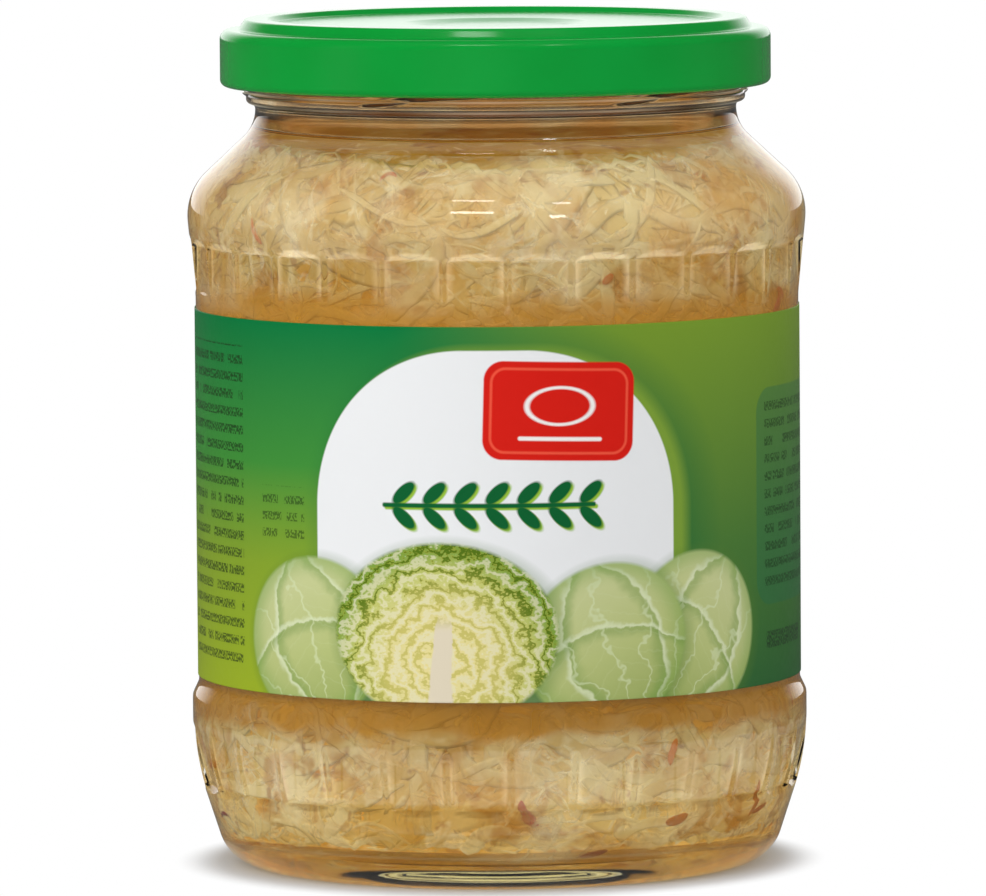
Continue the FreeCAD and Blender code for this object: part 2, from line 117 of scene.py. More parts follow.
def fan_faces(ring, pole, columns, flip=False):
    """Triangles that close a ring of points, starting at index ring, with the point at index pole."""
    c = np.arange(columns)
    first, second = ring + c, ring + (c + 1) % columns
    if flip:
        first, second = second, first
    return np.stack([first, second, np.full(columns, pole)], 1)


def build(name, points_mm, quads, triangles=None, uv=None, layers=None):
    """A smooth mesh object of points in millimetres. uv holds two numbers for each point.

    The volume is the sum of a . (b x c) over the triangles. If it is negative, every face is turned round,
    so that faces point outwards.
    """
    mesh = bpy.data.meshes.new(name)
    points = np.asarray(points_mm, float) * MM
    thirds = [quads[:, :3], quads[:, [0, 2, 3]]] + ([triangles] if triangles is not None else [])
    corners = points[np.concatenate(thirds)]
    if np.einsum("ij,ij->", corners[:, 0], np.cross(corners[:, 1], corners[:, 2])) < 0:
        quads = quads[:, ::-1]
        triangles = None if triangles is None else triangles[:, ::-1]
    faces = quads.tolist() + (triangles.tolist() if triangles is not None else [])
    mesh.from_pydata(points.tolist(), [], faces)
    mesh.polygons.foreach_set("use_smooth", np.ones(len(mesh.polygons), bool))
    if uv is not None:
        corner = np.zeros(len(mesh.loops), int)
        mesh.loops.foreach_get("vertex_index", corner)
        layer = mesh.uv_layers.new(name="print")
        layer.data.foreach_set("uv", np.asarray(uv, np.float32)[corner].ravel())
    for key, values in (layers or {}).items():
        attribute = mesh.attributes.new(key, "FLOAT", "POINT")
        attribute.data.foreach_set("value", np.asarray(values, np.float32))
    mesh.update()
    piece = bpy.data.objects.new(name, mesh)
    bpy.context.scene.collection.objects.link(piece)
    return piece


def turned(name, profile, angles, push=None, poles=(True, True), **extra):
    """A surface of revolution: the profile's point (r, z) at angle a goes to (r cos a, r sin a, z).

    push(a, r, z) moves the surface outwards. An end of the profile on the axis closes with a fan.
    """
    radius = np.repeat(profile[:, 0][:, None], len(angles), 1)
    height = np.repeat(profile[:, 1][:, None], len(angles), 1)
    turn = np.repeat(angles[None], len(profile), 0)
    if push is not None:
        radius = radius + push(turn, radius, height)
    points = np.stack([radius * np.cos(turn), radius * np.sin(turn), height], -1).reshape(-1, 3)
    rows, columns = len(profile), len(angles)
    quads = grid_faces(rows, columns)
    fans = []
    if poles[0]:
        points = np.concatenate([points, [[0, 0, profile[0, 1]]]])
        fans.append(fan_faces(0, len(points) - 1, columns, flip=True))
    if poles[1]:
        points = np.concatenate([points, [[0, 0, profile[-1, 1]]]])
        fans.append(fan_faces((rows - 1) * columns, len(points) - 1, columns))
    return build(name, points, quads, np.concatenate(fans) if fans else None, **extra)


def steady(value, low, high):
    """0 below low, 1 above high, and the curve 3t^2 - 2t^3 between."""
    t = np.clip((value - low) / (high - low), 0, 1)
    return t * t * (3 - 2 * t)


def waves(x, y, z, seed, size, octaves=3):
    """Smooth unevenness between about -1 and 1: sums of sines in random directions, size apart."""
    rng = np.random.default_rng(seed)
    total, weight = np.zeros(np.broadcast(x, y, z).shape), 0
    for octave in range(octaves):
        for _ in range(5):
            way = rng.normal(size=3)
            way *= 2 * math.pi / size * 2**octave / np.linalg.norm(way)
            total = total + 0.6**octave * np.sin(way[0] * x + way[1] * y + way[2] * z + rng.uniform(0, 6.3))
        weight += 0.6**octave * 2.2
    return total / weight


# ---------------------------------------------------------------- glass


def facet_angles():
    """Angles round the jar: twelve in each flat, crowded at the ribs between the flats."""
    pitch = 360 / FLAT_COUNT
    inside = np.array([-6, -5.75, -5.5, -5.1, -3.9, -2.0, 0, 2.0, 3.9, 5.1, 5.5, 5.75]) * pitch / 12
    centres = FLAT_TURN + pitch * np.arange(FLAT_COUNT)
    return np.radians((centres[:, None] + inside[None]).ravel())


def flats_and_threads(turn, radius, height):
    """How far the flats, the thread ridges and the slight unevenness of blown glass move the wall.

    A flat is a plane across the jar, its depth growing from the label's end to the other end. That end
    is an arch, whose height is the square root of 1 minus the square of the place across the flat.
    """
    pitch = 360 / FLAT_COUNT
    across = (np.degrees(turn) - FLAT_TURN + pitch / 2) % pitch - pitch / 2
    arch = np.sqrt(np.clip(1 - (across / 5.55) ** 2, 0, 1))
    side = 1 - steady(np.abs(across), 5.5, 5.76)

    def flat(shallow_end, deep_end, reach):
        along = np.clip((height - shallow_end) / (deep_end - shallow_end), 0, 1)
        depth = 0.3 + 0.6 * along
        plane = (radius - depth) / np.cos(np.radians(across))
        way = 1 if deep_end > shallow_end else -1
        beyond = (height - deep_end) * way
        before = (shallow_end - height) * way
        ledge = 1 - np.clip(beyond / np.maximum(reach * arch, 1e-3), 0, 1)
        start = 1 - steady(before, -0.6, 0.6)
        return np.minimum(plane - radius, 0) * side * ledge * start

    push = flat(89.4, 96.6, 1.5) * (height > 80) + flat(21.6, 13.0, 1.4) * (height < 28)
    for k in range(6):
        middle = math.radians(-36.5 + 60 * k)
        away = (turn - middle + math.pi) % (2 * math.pi) - math.pi
        line = 121.9 + FINISH_R * math.tan(math.radians(5.5)) * np.sin(away)
        ridge = np.sqrt(np.clip(1 - ((height - line) / 1.0) ** 2, 0, 1)) - 0.05
        ends = 1 - steady(np.abs(away), math.radians(22), math.radians(25.5))
        push = push + np.maximum(ridge, 0) * ends * (height > 116)
    x, y = radius * np.cos(turn), radius * np.sin(turn)
    uneven = 0.05 * waves(x, y, height, 3, 34, 2) * steady(height, 30, 32) * (1 - steady(height, 113, 117))
    return push + uneven * (radius > 30)


def glass_outline():
    """The outside of the glass from the middle of the base up to the rim, with close rows at details."""
    path = rounded([
        (0.0, PUNT_Z, 0), (27.0, PUNT_Z, 3.0), (34.0, 0.0, 3.0), (42.2, 0.0, 6.5),
        (BELLY_R, BELLY_LOW, 40), (BELLY_R, BELLY_HIGH, 1.6), (PANEL_R, PANEL_LOW, 1.2),
        (PANEL_R, PANEL_HIGH, 1.2), (SHOULDER_R, SHOULDER_Z, 9), (NECK_R, NECK_Z, 6),
        (NECK_R, BEAD_LOW, 0.8), (BEAD_R, BEAD_LOW, 0.7), (BEAD_R, BEAD_HIGH, 0.7),
        (FINISH_R, BEAD_HIGH, 0.3), (FINISH_R, RIM_Z, 1.1), (MOUTH_R + 1.1, RIM_Z, 0)], 0.05)
    height = path[:, 1]
    spots = [-1, 9.5, 11.2, 13.3, 14.5, 20.5, 22.5, 25.5, 29.5, 33, 84, 87.5, 90.5, 92, 95.5, 96.4, 98.3,
             99.5, 116, 117.5, 122.8, 124, 131]
    gaps = [0.9, 0.8, 0.17, 0.17, 0.9, 0.9, 0.35, 0.4, 0.5, 6, 6, 0.5, 0.5, 1.1, 1.1, 0.17, 0.17,
            0.8, 0.8, 0.22, 0.25, 0.6, 0.5]
    spacing = np.interp(height, spots, gaps)
    spacing = np.where(path[:, 0] < 33, 2.0, spacing)
    return evenly(path, spacing)


def inside_outline(gap=0.0, top=RIM_Z):
    """The inside of the glass from height top down to the middle of the floor, taken in by gap."""
    path = rounded([
        (MOUTH_R - gap, RIM_Z + 5, 0), (MOUTH_R - gap, NECK_Z - 2.3 - gap, 5),
        (INNER_R - gap, SHOULDER_Z - 2.3 - gap, 8), (INNER_R - gap, HEEL_Z + gap, 10),
        (24.0, FLOOR_Z + gap, 10), (0.0, FLOOR_Z + gap, 0)], 0.05)
    cut = path[path[:, 1] <= top]
    start = np.array([[np.interp(-top, -path[:400, 1], path[:400, 0]), top]])
    return np.concatenate([start, cut])


def painted_glints_and_shade(turn, height):
    """Painted highlight mask: 1 on the moulded ledges at the flats' deep ends, along the ribs and on the bead's
    edges.

    A ledge is the lens between the flat's straight end and its arch. The second mask is painted shade on the
    low ledges.
    """
    pitch = 360 / FLAT_COUNT
    across = (np.degrees(turn) - FLAT_TURN + pitch / 2) % pitch - pitch / 2
    number = np.round((np.degrees(turn) - FLAT_TURN) / pitch)
    share = 0.7 + 0.3 * np.sin(number * 2.4)
    arch = np.sqrt(np.clip(1 - (across / 4.75) ** 2, 0, 1))
    # Painted highlight: a pale lens on each upper ledge.
    rise = (height - 96.6) / np.maximum(1.3 * arch, 0.05)
    lens = steady(rise, 0.0, 0.15) * (1 - steady(rise, 0.85, 1.05)) * (np.abs(across) < 4.6) * share
    # Painted shade: a dark lens on each low ledge.
    fall = (13.0 - height) / np.maximum(1.2 * arch, 0.05)
    dark = steady(fall, 0.0, 0.15) * (1 - steady(fall, 0.85, 1.05)) * (np.abs(across) < 4.4) * share
    # Painted highlight lines along the ribs.
    rib = steady(np.abs(across), 4.7, 5.05) * (1 - steady(np.abs(across), 5.15, 5.45)) * share
    upper = steady(height, 89.5, 92.5) * (1 - steady(height, 96.2, 97.4))
    lower = steady(height, 13.4, 14.5) * (1 - steady(height, 19.5, 21.8))
    # Painted highlight lines along the bead's top and bottom edges.
    bead = np.exp(-((height - 118.45) / 0.2) ** 2) + np.exp(-((height - 120.1) / 0.16) ** 2)
    bead = bead * (0.55 + 0.45 * np.sin(3 * turn + 0.8) * np.sin(7 * turn))
    return np.clip(lens + 0.75 * rib * upper + 0.6 * rib * lower + bead, 0, 1), dark


def make_glass():
    """The jar as one closed shell: the outside, the rounded rim and the inside."""
    outer = glass_outline()
    inner = inside_outline(0.0, RIM_Z - 1.1)
    spacing = np.interp(inner[:, 1], [0, 20, 30, 85, 92, 118, 131], [1.2, 1.4, 6, 6, 1.3, 1.3, 1.5])
    inner = evenly(inner, np.where(inner[:, 0] < 33, 3.0, spacing))
    lip = np.radians(np.linspace(90, 180, 5))[1:-1]
    rim = np.stack([MOUTH_R + 1.1 + 1.1 * np.cos(lip), RIM_Z - 1.1 + 1.1 * np.sin(lip)], 1)
    profile = np.concatenate([outer[1:], rim, inner[:-1]])
    inward = len(outer) - 1

    def push(turn, radius, height):
        """Only the outside has flats and ridges."""
        moved = flats_and_threads(turn, radius, height)
        moved[inward:] = 0
        return moved

    turn, height = np.meshgrid(facet_angles(), profile[:, 1])
    # Painted highlight (pale) and painted shade (dark) masks, on the outside only.
    pale, dark = painted_glints_and_shade(turn, height)
    pale[inward:], dark[inward:] = 0, 0
    ends = [0, 0]
    return turned("glass_jar", profile, facet_angles(), push,
                  layers={"pale": np.append(pale, ends), "dark": np.append(dark, ends)})


# ---------------------------------------------------------------- cap


def make_cap():
    """The cap pressed from one sheet, with its rolled edge, turned from its section."""
    top, sheet, cap_r, low = 131.39, 0.3, 42.7, 120.99
    ledge, panel = top - 1.6, top - 0.8
    button = panel - 0.5
    above = [(0.0, button, 0), (12.0, button, 0.9), (14.5, panel, 0.9), (34.4, panel, 0.6),
             (35.4, top, 0.6), (38.8, top, 0.6), (39.8, ledge, 0.6)]
    below = [(r, z - sheet, bend) for r, z, bend in reversed(above)]
    skirt = [(cap_r, ledge, 1.5), (cap_r, low, 1.05), (cap_r - 2.3, low, 1.05),
             (cap_r - 2.3, low + 2.2, 1.05), (cap_r - sheet, low + 2.2, 0.1),
             (cap_r - sheet, ledge - sheet, 1.2)]
    path = rounded(above + skirt + below, 0.05)
    bent = np.abs(np.gradient(np.arctan2(*np.gradient(path, axis=0).T[::-1])))
    bent = np.minimum(bent, 2 * math.pi - bent)
    near = np.convolve(bent > 0.01, np.ones(9), "same") > 0
    profile = evenly(path, np.where(near, 0.16, 2.0))[1:-1]
    angles = np.linspace(0, 2 * math.pi, 241)[:-1]
    cap = turned("cap_shell", profile, angles)
    inside = int(np.argmin(np.abs(profile[:, 1] - low - 2.2) + (profile[:, 0] > cap_r - 2.2) * 9))
    rows = np.zeros(len(cap.data.polygons), int)
    quads = (len(profile) - 1) * len(angles)
    rows[:quads] = np.arange(quads) // len(angles) >= inside
    rows[quads + len(angles):] = 1
    cap.data.polygons.foreach_set("material_index", rows)
    return cap


def make_lugs():
    """Six gripping lugs: short blocks of a ring, each a closed grid round its section."""
    pieces, faces = [], []
    for k in range(6):
        turn = np.radians(60 * k + 90 + np.linspace(-6.5, 6.5, 9))
        section = rounded([(39.6, 121.8, 0), (41.2, 121.65, 0.3), (41.2, 122.55, 0.3), (39.3, 122.55, 0.35),
                           (39.3, 121.7, 0.35), (39.6, 121.8, 0)], 0.3)[:-1]
        ring = np.repeat(section[None], len(turn), 0)
        points = np.stack([ring[..., 0] * np.cos(turn)[:, None], ring[..., 0] * np.sin(turn)[:, None],
                           ring[..., 1]], -1)
        base = sum(len(p) for p in pieces)
        count = len(section)
        body = grid_faces(len(turn), count, offset=base)
        ends = points[[0, -1]].mean(1)
        pieces.append(np.concatenate([points.reshape(-1, 3), ends]))
        last = base + len(turn) * count
        faces.append((body, fan_faces(base, last, count, True),
                      fan_faces(last - count, last + 1, count)))
    return build("cap_lugs", np.concatenate(pieces), np.concatenate([f[0] for f in faces]),
                 np.concatenate([np.concatenate(f[1:]) for f in faces]))


# ---------------------------------------------------------------- label


def make_label():
    """The paper band: a thin closed strip bent round the glass, one end lapped over the other behind.

    At angle a from the back the radius is the glass's plus the glue line, and it rises by the paper's
    thickness over the last few degrees. The print's coordinates are centimetres along the paper from
    the front, and up from its lower edge.
    """
    lap = math.radians(4.5)
    along = np.linspace(-math.pi - lap, math.pi + lap, 421)
    heights = np.array([LABEL_LOW, LABEL_LOW + 0.15, LABEL_LOW + 8, LABEL_LOW + 19, LABEL_LOW + 28.5,
                        LABEL_HIGH - 19, LABEL_HIGH - 8, LABEL_HIGH - 0.15, LABEL_HIGH])
    lift = PAPER * steady(along, math.pi - 3.2 * lap, math.pi - 1.1 * lap)
    turn, height = np.meshgrid(along, heights)
    bow = 0.03 * waves(turn * 47, height * 0.6, 0, 8, 60, 2)
    inner = PANEL_R + GLUE + lift[None] + 0 * height
    outer = inner + PAPER + np.maximum(bow, -0.02) * steady(height, LABEL_LOW, LABEL_LOW + 3)
    where = turn - math.pi / 2
    rows, columns = turn.shape

    def sheet(radius):
        return np.stack([radius * np.cos(where), radius * np.sin(where), height], -1).reshape(-1, 3)

    points = np.concatenate([sheet(outer), sheet(inner)])
    front = grid_faces(rows, columns, wrap=False)
    back = front[:, ::-1] + rows * columns
    loop = np.concatenate([np.arange(columns), np.arange(1, rows) * columns + columns - 1,
                           (rows - 1) * columns + np.arange(columns - 2, -1, -1),
                           np.arange(rows - 2, 0, -1) * columns])
    after = np.roll(loop, -1)
    edge = np.stack([after, loop, loop + rows * columns, after + rows * columns], 1)
    uv = np.stack([turn * 4.693, (height - LABEL_LOW) / 10], -1).reshape(-1, 2)
    return build("paper_label", points, np.concatenate([front, back, edge]), uv=np.concatenate([uv, uv]))


# ---------------------------------------------------------------- contents


def wall_inside(height):
    """Radius of the inside of the glass at a height, and its slope there."""
    path = inside_outline(0.0, RIM_Z - 2)
    path = path[path[:, 0] > 30][::-1]
    order = np.argsort(path[:, 1], kind="stable")
    radius = np.interp(height, path[order, 1], path[order, 0])
    above = np.interp(height + 0.4, path[order, 1], path[order, 0])
    below = np.interp(height - 0.4, path[order, 1], path[order, 0])
    return radius, (above - below) / 0.8


def make_brine():
    """The liquid: it reaches just into the glass all round, and climbs the wall a little at its top."""
    low = inside_outline(-0.07, BRINE_Z + 0.9)
    side = evenly(low, np.interp(low[:, 1], [0, 20, 30, 85, 92, 115], [1.2, 1.4, 7, 7, 1.3, 0.6]))
    edge = side[0]
    inward = np.linspace(0, 1, 22)[1:-1] ** 1.8 * edge[0]
    climb = 0.9 * np.exp(-inward / 1.1) - 0.02
    top = np.stack([edge[0] - inward, BRINE_Z + climb], 1)[::-1]
    profile = np.concatenate([top, side[:-1]])
    return turned("brine_fill", profile[::-1], np.linspace(0, 2 * math.pi, 181)[:-1])


def make_film():
    """A thin closed brown film on the neck's inside, from the liquid up to the rim, that makes the neck look
    brown.
    """
    path = inside_outline(0.0, RIM_Z - 2.0)
    path = path[path[:, 1] >= BRINE_Z + 0.5]
    side = evenly(path, np.full(len(path), 0.9))
    outer, inner = side + (0.05, 0), side[::-1] - (0.14, 0)
    profile = np.concatenate([outer, inner, outer[:1]])[::-1]

    def push(turn, radius, height):
        """The film's inner face is uneven."""
        x, y = radius * np.cos(turn), radius * np.sin(turn)
        thin = 0.08 * waves(x, y, height * 0.45, 17, 12, 3)
        return thin * (radius < MOUTH_R - 0.05)

    return turned("neck_film", profile, np.linspace(0, 2 * math.pi, 181)[:-1], push, (False, False))


def make_haze():
    """Cloudy brine: a thin closed skin just inside the glass, over the shreds."""
    near, far = (evenly(path, np.interp(path[:, 1], [0, 20, 30, 85, 92, 112], [1.2, 1.5, 7, 7, 1.5, 1.2]))
                 for path in (inside_outline(0.12, 110.2), inside_outline(0.2, 110.2)))
    profile = np.concatenate([near[::-1][1:], far[:-1]])
    return turned("brine_haze", profile, np.linspace(0, 2 * math.pi, 181)[:-1])


def make_flecks():
    """Slivers of carrot, chilli and red cabbage against the glass.

    Each is a crescent: a middle line bent in a circle, with an oval section that thins to both tips.
    A row gives degrees right of the front, height, length, width, heading in degrees, bend and tone.
    """
    given = [(5.2, 12.4, 5.2, 1.5, -58, 1.5, 0.0), (35.5, 21.0, 4.0, 1.3, 76, -0.5, 0.55),
             (37.5, 10.6, 4.2, 1.8, 12, 0.6, 0.6), (20.0, 6.0, 5.0, 1.6, 8, 0.3, 1.0),
             (22.0, 93.5, 2.2, 1.2, 40, 0.4, 0.35), (-24.0, 107.6, 3.4, 0.8, 20, -2.2, 0.4)]
    rng = np.random.default_rng(31)
    for _ in range(26):
        given.append((rng.uniform(60, 310), rng.choice([rng.uniform(8, 27), rng.uniform(86, 106)]),
                      rng.uniform(2, 6), rng.uniform(0.7, 1.8), rng.uniform(0, 180), rng.uniform(-1.5, 1.5),
                      rng.random()))
    rows = np.array(given).T[..., None]
    right, height, length, width, heading, bent, tone = rows
    steps, sides = 14, 8
    t = np.linspace(-0.5, 0.5, steps)[None]
    course = np.radians(heading) + bent * t
    stride = length / (steps - 1)
    run, rise = np.cumsum(np.cos(course) * stride, 1), np.cumsum(np.sin(course) * stride, 1)
    z = height + rise - rise.mean(1, keepdims=True)
    wall, slope = wall_inside(z)
    turn = np.radians(right - 90) + (run - run.mean(1, keepdims=True)) / INNER_R
    taper = np.sqrt(np.clip(1.02 - (2 * t) ** 2, 0.02, 1))
    half_wide, half_thick = width / 2 * taper, 0.13 * taper + 0.02
    radius = wall - 0.38 * np.sqrt(1 + slope**2)
    centre = np.stack([radius * np.cos(turn), radius * np.sin(turn), z], -1)
    return tube("flecks", centre, half_wide, half_thick, slope, turn, np.full(z.shape, 0.0), tone[:, 0], sides)


def make_core():
    """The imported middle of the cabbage: the inside of the glass taken in, uneven all over."""
    path = inside_outline(1.7, 109.0)
    side = evenly(path, np.full(len(path), 1.6))
    top = np.linspace(0, side[0, 0] - 1.0, 20)
    lid = np.stack([top, np.full(len(top), 109.4)], 1)
    profile = np.concatenate([lid[1:], side[:-1]])[::-1]

    def push(turn, radius, height):
        x, y = radius * np.cos(turn), radius * np.sin(turn)
        return 0.6 * waves(x, y, height, 21, 9, 3) * steady(radius, 4, 12)

    core = turned("cabbage_core", profile, np.linspace(0, 2 * math.pi, 241)[:-1], push)
    co = np.zeros(len(core.data.vertices) * 3)
    core.data.vertices.foreach_get("co", co)
    co = co.reshape(-1, 3) / MM
    rise = steady(co[:, 2], 105, 109) * 1.1 * waves(co[:, 0], co[:, 1], 0, 5, 17, 3)
    co[:, 2] += rise - 0.6 * steady(co[:, 2], 105, 109)
    core.data.vertices.foreach_set("co", (co * MM).ravel())
    core.data.update()
    return core


def tube(name, centre, half_wide, half_thick, slope, turn, twist, tone, sides, cup=0.0):
    """Closed strips with a flat oval section, swept along the rows of centre.

    The section stands square to the middle line, flat to the wall and turned by twist. A cup bows it.
    """
    count, steps = centre.shape[:2]
    tangent = np.gradient(centre, axis=1)
    tangent /= np.linalg.norm(tangent, axis=-1, keepdims=True) + 1e-9
    out = np.stack([np.cos(turn), np.sin(turn), -slope], -1)
    out -= (out * tangent).sum(-1, keepdims=True) * tangent
    out /= np.linalg.norm(out, axis=-1, keepdims=True) + 1e-9
    across = np.cross(tangent, out)
    cos, sin = np.cos(twist)[..., None], np.sin(twist)[..., None]
    across, out = cos * across + sin * out, cos * out - sin * across
    k = np.arange(sides) * 2 * math.pi / sides
    flat = np.sign(np.cos(k)) * np.abs(np.cos(k)) ** 0.8
    bow = np.broadcast_to(cup, (count, 1))[..., None] * (flat**2 - 0.5)
    w = flat[None, None] * half_wide[..., None]
    h = (np.sin(k)[None, None] + bow) * half_thick[..., None]
    points = centre[:, :, None] + across[:, :, None] * w[..., None] + out[:, :, None] * h[..., None]
    base = (np.arange(count) * steps * sides)[:, None, None]
    body = (grid_faces(steps, sides)[None] + base).reshape(-1, 4)
    fan = np.array([[0, i + 1, i] for i in range(1, sides - 1)])
    fans = np.concatenate([fan, fan[:, ::-1] + (steps - 1) * sides])
    ends = (fans[None] + base).reshape(-1, 3)
    uv = np.stack([np.repeat(tone, steps * sides),
                   np.tile(np.repeat(np.linspace(0, 1, steps), sides), count)], 1)
    return build(name, points.reshape(-1, 3), body, ends, uv=uv)


def shreds(name, count, seed, deep, wide, thick, long, zones, steps=16, sides=6, bend=1.0, turn_up=0.35,
           level=0.5):
    """Shreds of cabbage lying along the inside of the glass, as one mesh.

    Each shred's middle line is a curve on the unrolled wall: its heading is a straight line plus a sine
    in the distance along it. Its section is a flat oval, square to that line, thinner towards both ends,
    and it leans over a little where it twists. zones gives low, high and share of each height band.
    """
    rng = np.random.default_rng(seed)
    t = np.linspace(0, 1, steps)[None]
    one = lambda low, high: rng.uniform(low, high, (count, 1))
    length = one(*long) * (0.7 + 0.3 * rng.random((count, 1)))
    width, thickness = one(*wide) / 2, one(*thick) / 2
    band = rng.choice(len(zones), count, p=np.array([z[2] for z in zones]) / sum(z[2] for z in zones))
    lows = np.array([z[0] for z in zones])[band][:, None]
    highs = np.array([z[1] for z in zones])[band][:, None]
    z0 = lows + (highs - lows) * rng.random((count, 1))
    around = one(0, 2 * math.pi * INNER_R)
    lean = rng.normal(0, level, (count, 1)) + rng.choice([0, math.pi], (count, 1))
    heading = lean + bend * (one(-1.3, 1.3) * (t - 0.5) + one(0.1, 0.8) * np.sin(
        one(2, 7) * t + one(0, 6.3)))
    stride = length / (steps - 1)
    run = np.cumsum(np.cos(heading) * stride, 1)
    rise = np.cumsum(np.sin(heading) * stride, 1)
    along = around + run - run.mean(1, keepdims=True)
    height = z0 + rise - rise.mean(1, keepdims=True)
    ceiling = 109.8 + 1.4 * waves(along, 0 * along, 0, seed, 31, 2) - width
    floor = 5.9 + 0.7 * width + one(0, 1.5)
    height = floor + np.abs(height - floor)
    height = ceiling - np.abs(ceiling - height)
    height = np.clip(height, floor, None)
    twist = turn_up * one(-1, 1) ** 3 * np.sin(one(2, 6) * t + one(0, 6.3)) * 1.6
    taper = np.clip(1.15 - np.abs(2 * t - 1) ** one(2.5, 7), 0.12, 1)
    half_wide = width * taper
    half_thick = thickness * np.clip(taper, 0.35, 1)
    wall, slope = wall_inside(height)
    depth = one(*deep) + 0.25 * np.abs(np.sin(one(1, 5) * t + one(0, 6.3)))
    depth = depth + half_thick + np.abs(np.sin(twist)) * half_wide + 0.42 + half_wide**2 / 80
    turn = along / INNER_R
    radius = wall - depth * np.sqrt(1 + slope**2)
    centre = np.stack([radius * np.cos(turn), radius * np.sin(turn), height], -1)
    return tube(name, centre, half_wide, half_thick, slope, turn, twist, rng.random(count), sides,
                one(-0.25, 0.35))


# ---------------------------------------------------------------- materials


class Shade:
    """A material's nodes, with short calls that place a node and wire it."""

    def __init__(self, name, tree=None):
        if tree is None:
            self.material = bpy.data.materials.new(name)
            self.material.use_nodes = True
            self.tree = self.material.node_tree
            self.tree.nodes.clear()
        else:
            self.tree = tree

    def put(self, socket, value):
        """Links a socket to an output, or sets its value."""
        if isinstance(value, bpy.types.NodeSocket):
            self.tree.links.new(value, socket)
        elif isinstance(value, tuple) and len(value) == 3 and socket.type == "RGBA":
            socket.default_value = (*value, 1)
        else:
            socket.default_value = value

    def node(self, kind, inputs=None, **settings):
        """A new node with its settings, and with values or links put into its inputs."""
        node = self.tree.nodes.new(kind)
        for key, value in settings.items():
            setattr(node, key, value)
        for key, value in (inputs or {}).items():
            self.put(node.inputs[key], value)
        return node

    def math(self, operation, first, second=0.0, third=0.0, clamp=False):
        """The result of one sum on up to three numbers."""
        return self.node("ShaderNodeMath", {0: first, 1: second, 2: third}, operation=operation,
                         use_clamp=clamp).outputs[0]

    def mix(self, mask, below, above, blend="MIX"):
        """The colour below where mask is 0 and above where it is 1."""
        node = self.node("ShaderNodeMix", data_type="RGBA", blend_type=blend)
        self.put(node.inputs[0], mask)
        self.put(node.inputs[6], below)
        self.put(node.inputs[7], above)
        return node.outputs[2]

    def blend(self, mask, low, high):
        """The number low where mask is 0 and high where it is 1."""
        node = self.node("ShaderNodeMapRange", {0: mask, 1: 0.0, 2: 1.0, 3: low, 4: high}, clamp=True)
        return node.outputs[0]

    def step(self, value, low, high, smooth=True):
        """0 below low and 1 above high."""
        kind = "SMOOTHSTEP" if smooth else "LINEAR"
        return self.node("ShaderNodeMapRange", {0: value, 1: low, 2: high, 3: 0.0, 4: 1.0},
                         interpolation_type=kind, clamp=True).outputs[0]

    def noise(self, where, scale, detail=3.0, rough=0.55, distortion=0.0):
        """A noise texture, with its scale in waves for each metre."""
        return self.node("ShaderNodeTexNoise", {"Vector": where, "Scale": scale, "Detail": detail,
                                                "Roughness": rough, "Distortion": distortion})

    def ramp(self, value, stops):
        """A colour ramp through (place, colour) stops."""
        node = self.node("ShaderNodeValToRGB", {0: value})
        elements = node.color_ramp.elements
        while len(elements) < len(stops):
            elements.new(0.5)
        for element, (place, colour) in zip(elements, stops):
            element.position = place
            element.color = (*colour, 1)
        return node.outputs[0]

    def group(self, tree, **inputs):
        """A shared group with this material's own values."""
        node = self.node("ShaderNodeGroup", node_tree=tree)
        for key, value in inputs.items():
            self.put(node.inputs[key.replace("_", " ")], value)
        return node

    def finish(self, shader, volume=None):
        """Puts the shader on the surface, and hands back the material."""
        out = self.node("ShaderNodeOutputMaterial", {"Surface": shader})
        if volume is not None:
            self.put(out.inputs["Volume"], volume)
        return self.material


def paint(red, green, blue):
    """A colour given as it looks on a screen, 0 to 255, as the linear colour that a shader takes."""
    values = np.array((red, green, blue)) / 255
    linear = np.where(values <= 0.04045, values / 12.92, ((values + 0.055) / 1.055) ** 2.4)
    return tuple(float(v) for v in linear)


def group_tree(name, inputs, outputs):
    """An empty shader node group with named sockets, and the shade that fills it."""
    tree = bpy.data.node_groups.new(name, "ShaderNodeTree")
    for socket, kind, value in inputs:
        made = tree.interface.new_socket(socket, in_out="INPUT", socket_type="NodeSocket" + kind)
        if value is not None:
            made.default_value = value
    for socket, kind in outputs:
        tree.interface.new_socket(socket, in_out="OUTPUT", socket_type="NodeSocket" + kind)
    shade = Shade(name, tree)
    entry = shade.node("NodeGroupInput").outputs
    leave = shade.node("NodeGroupOutput").inputs
    return tree, shade, entry, leave


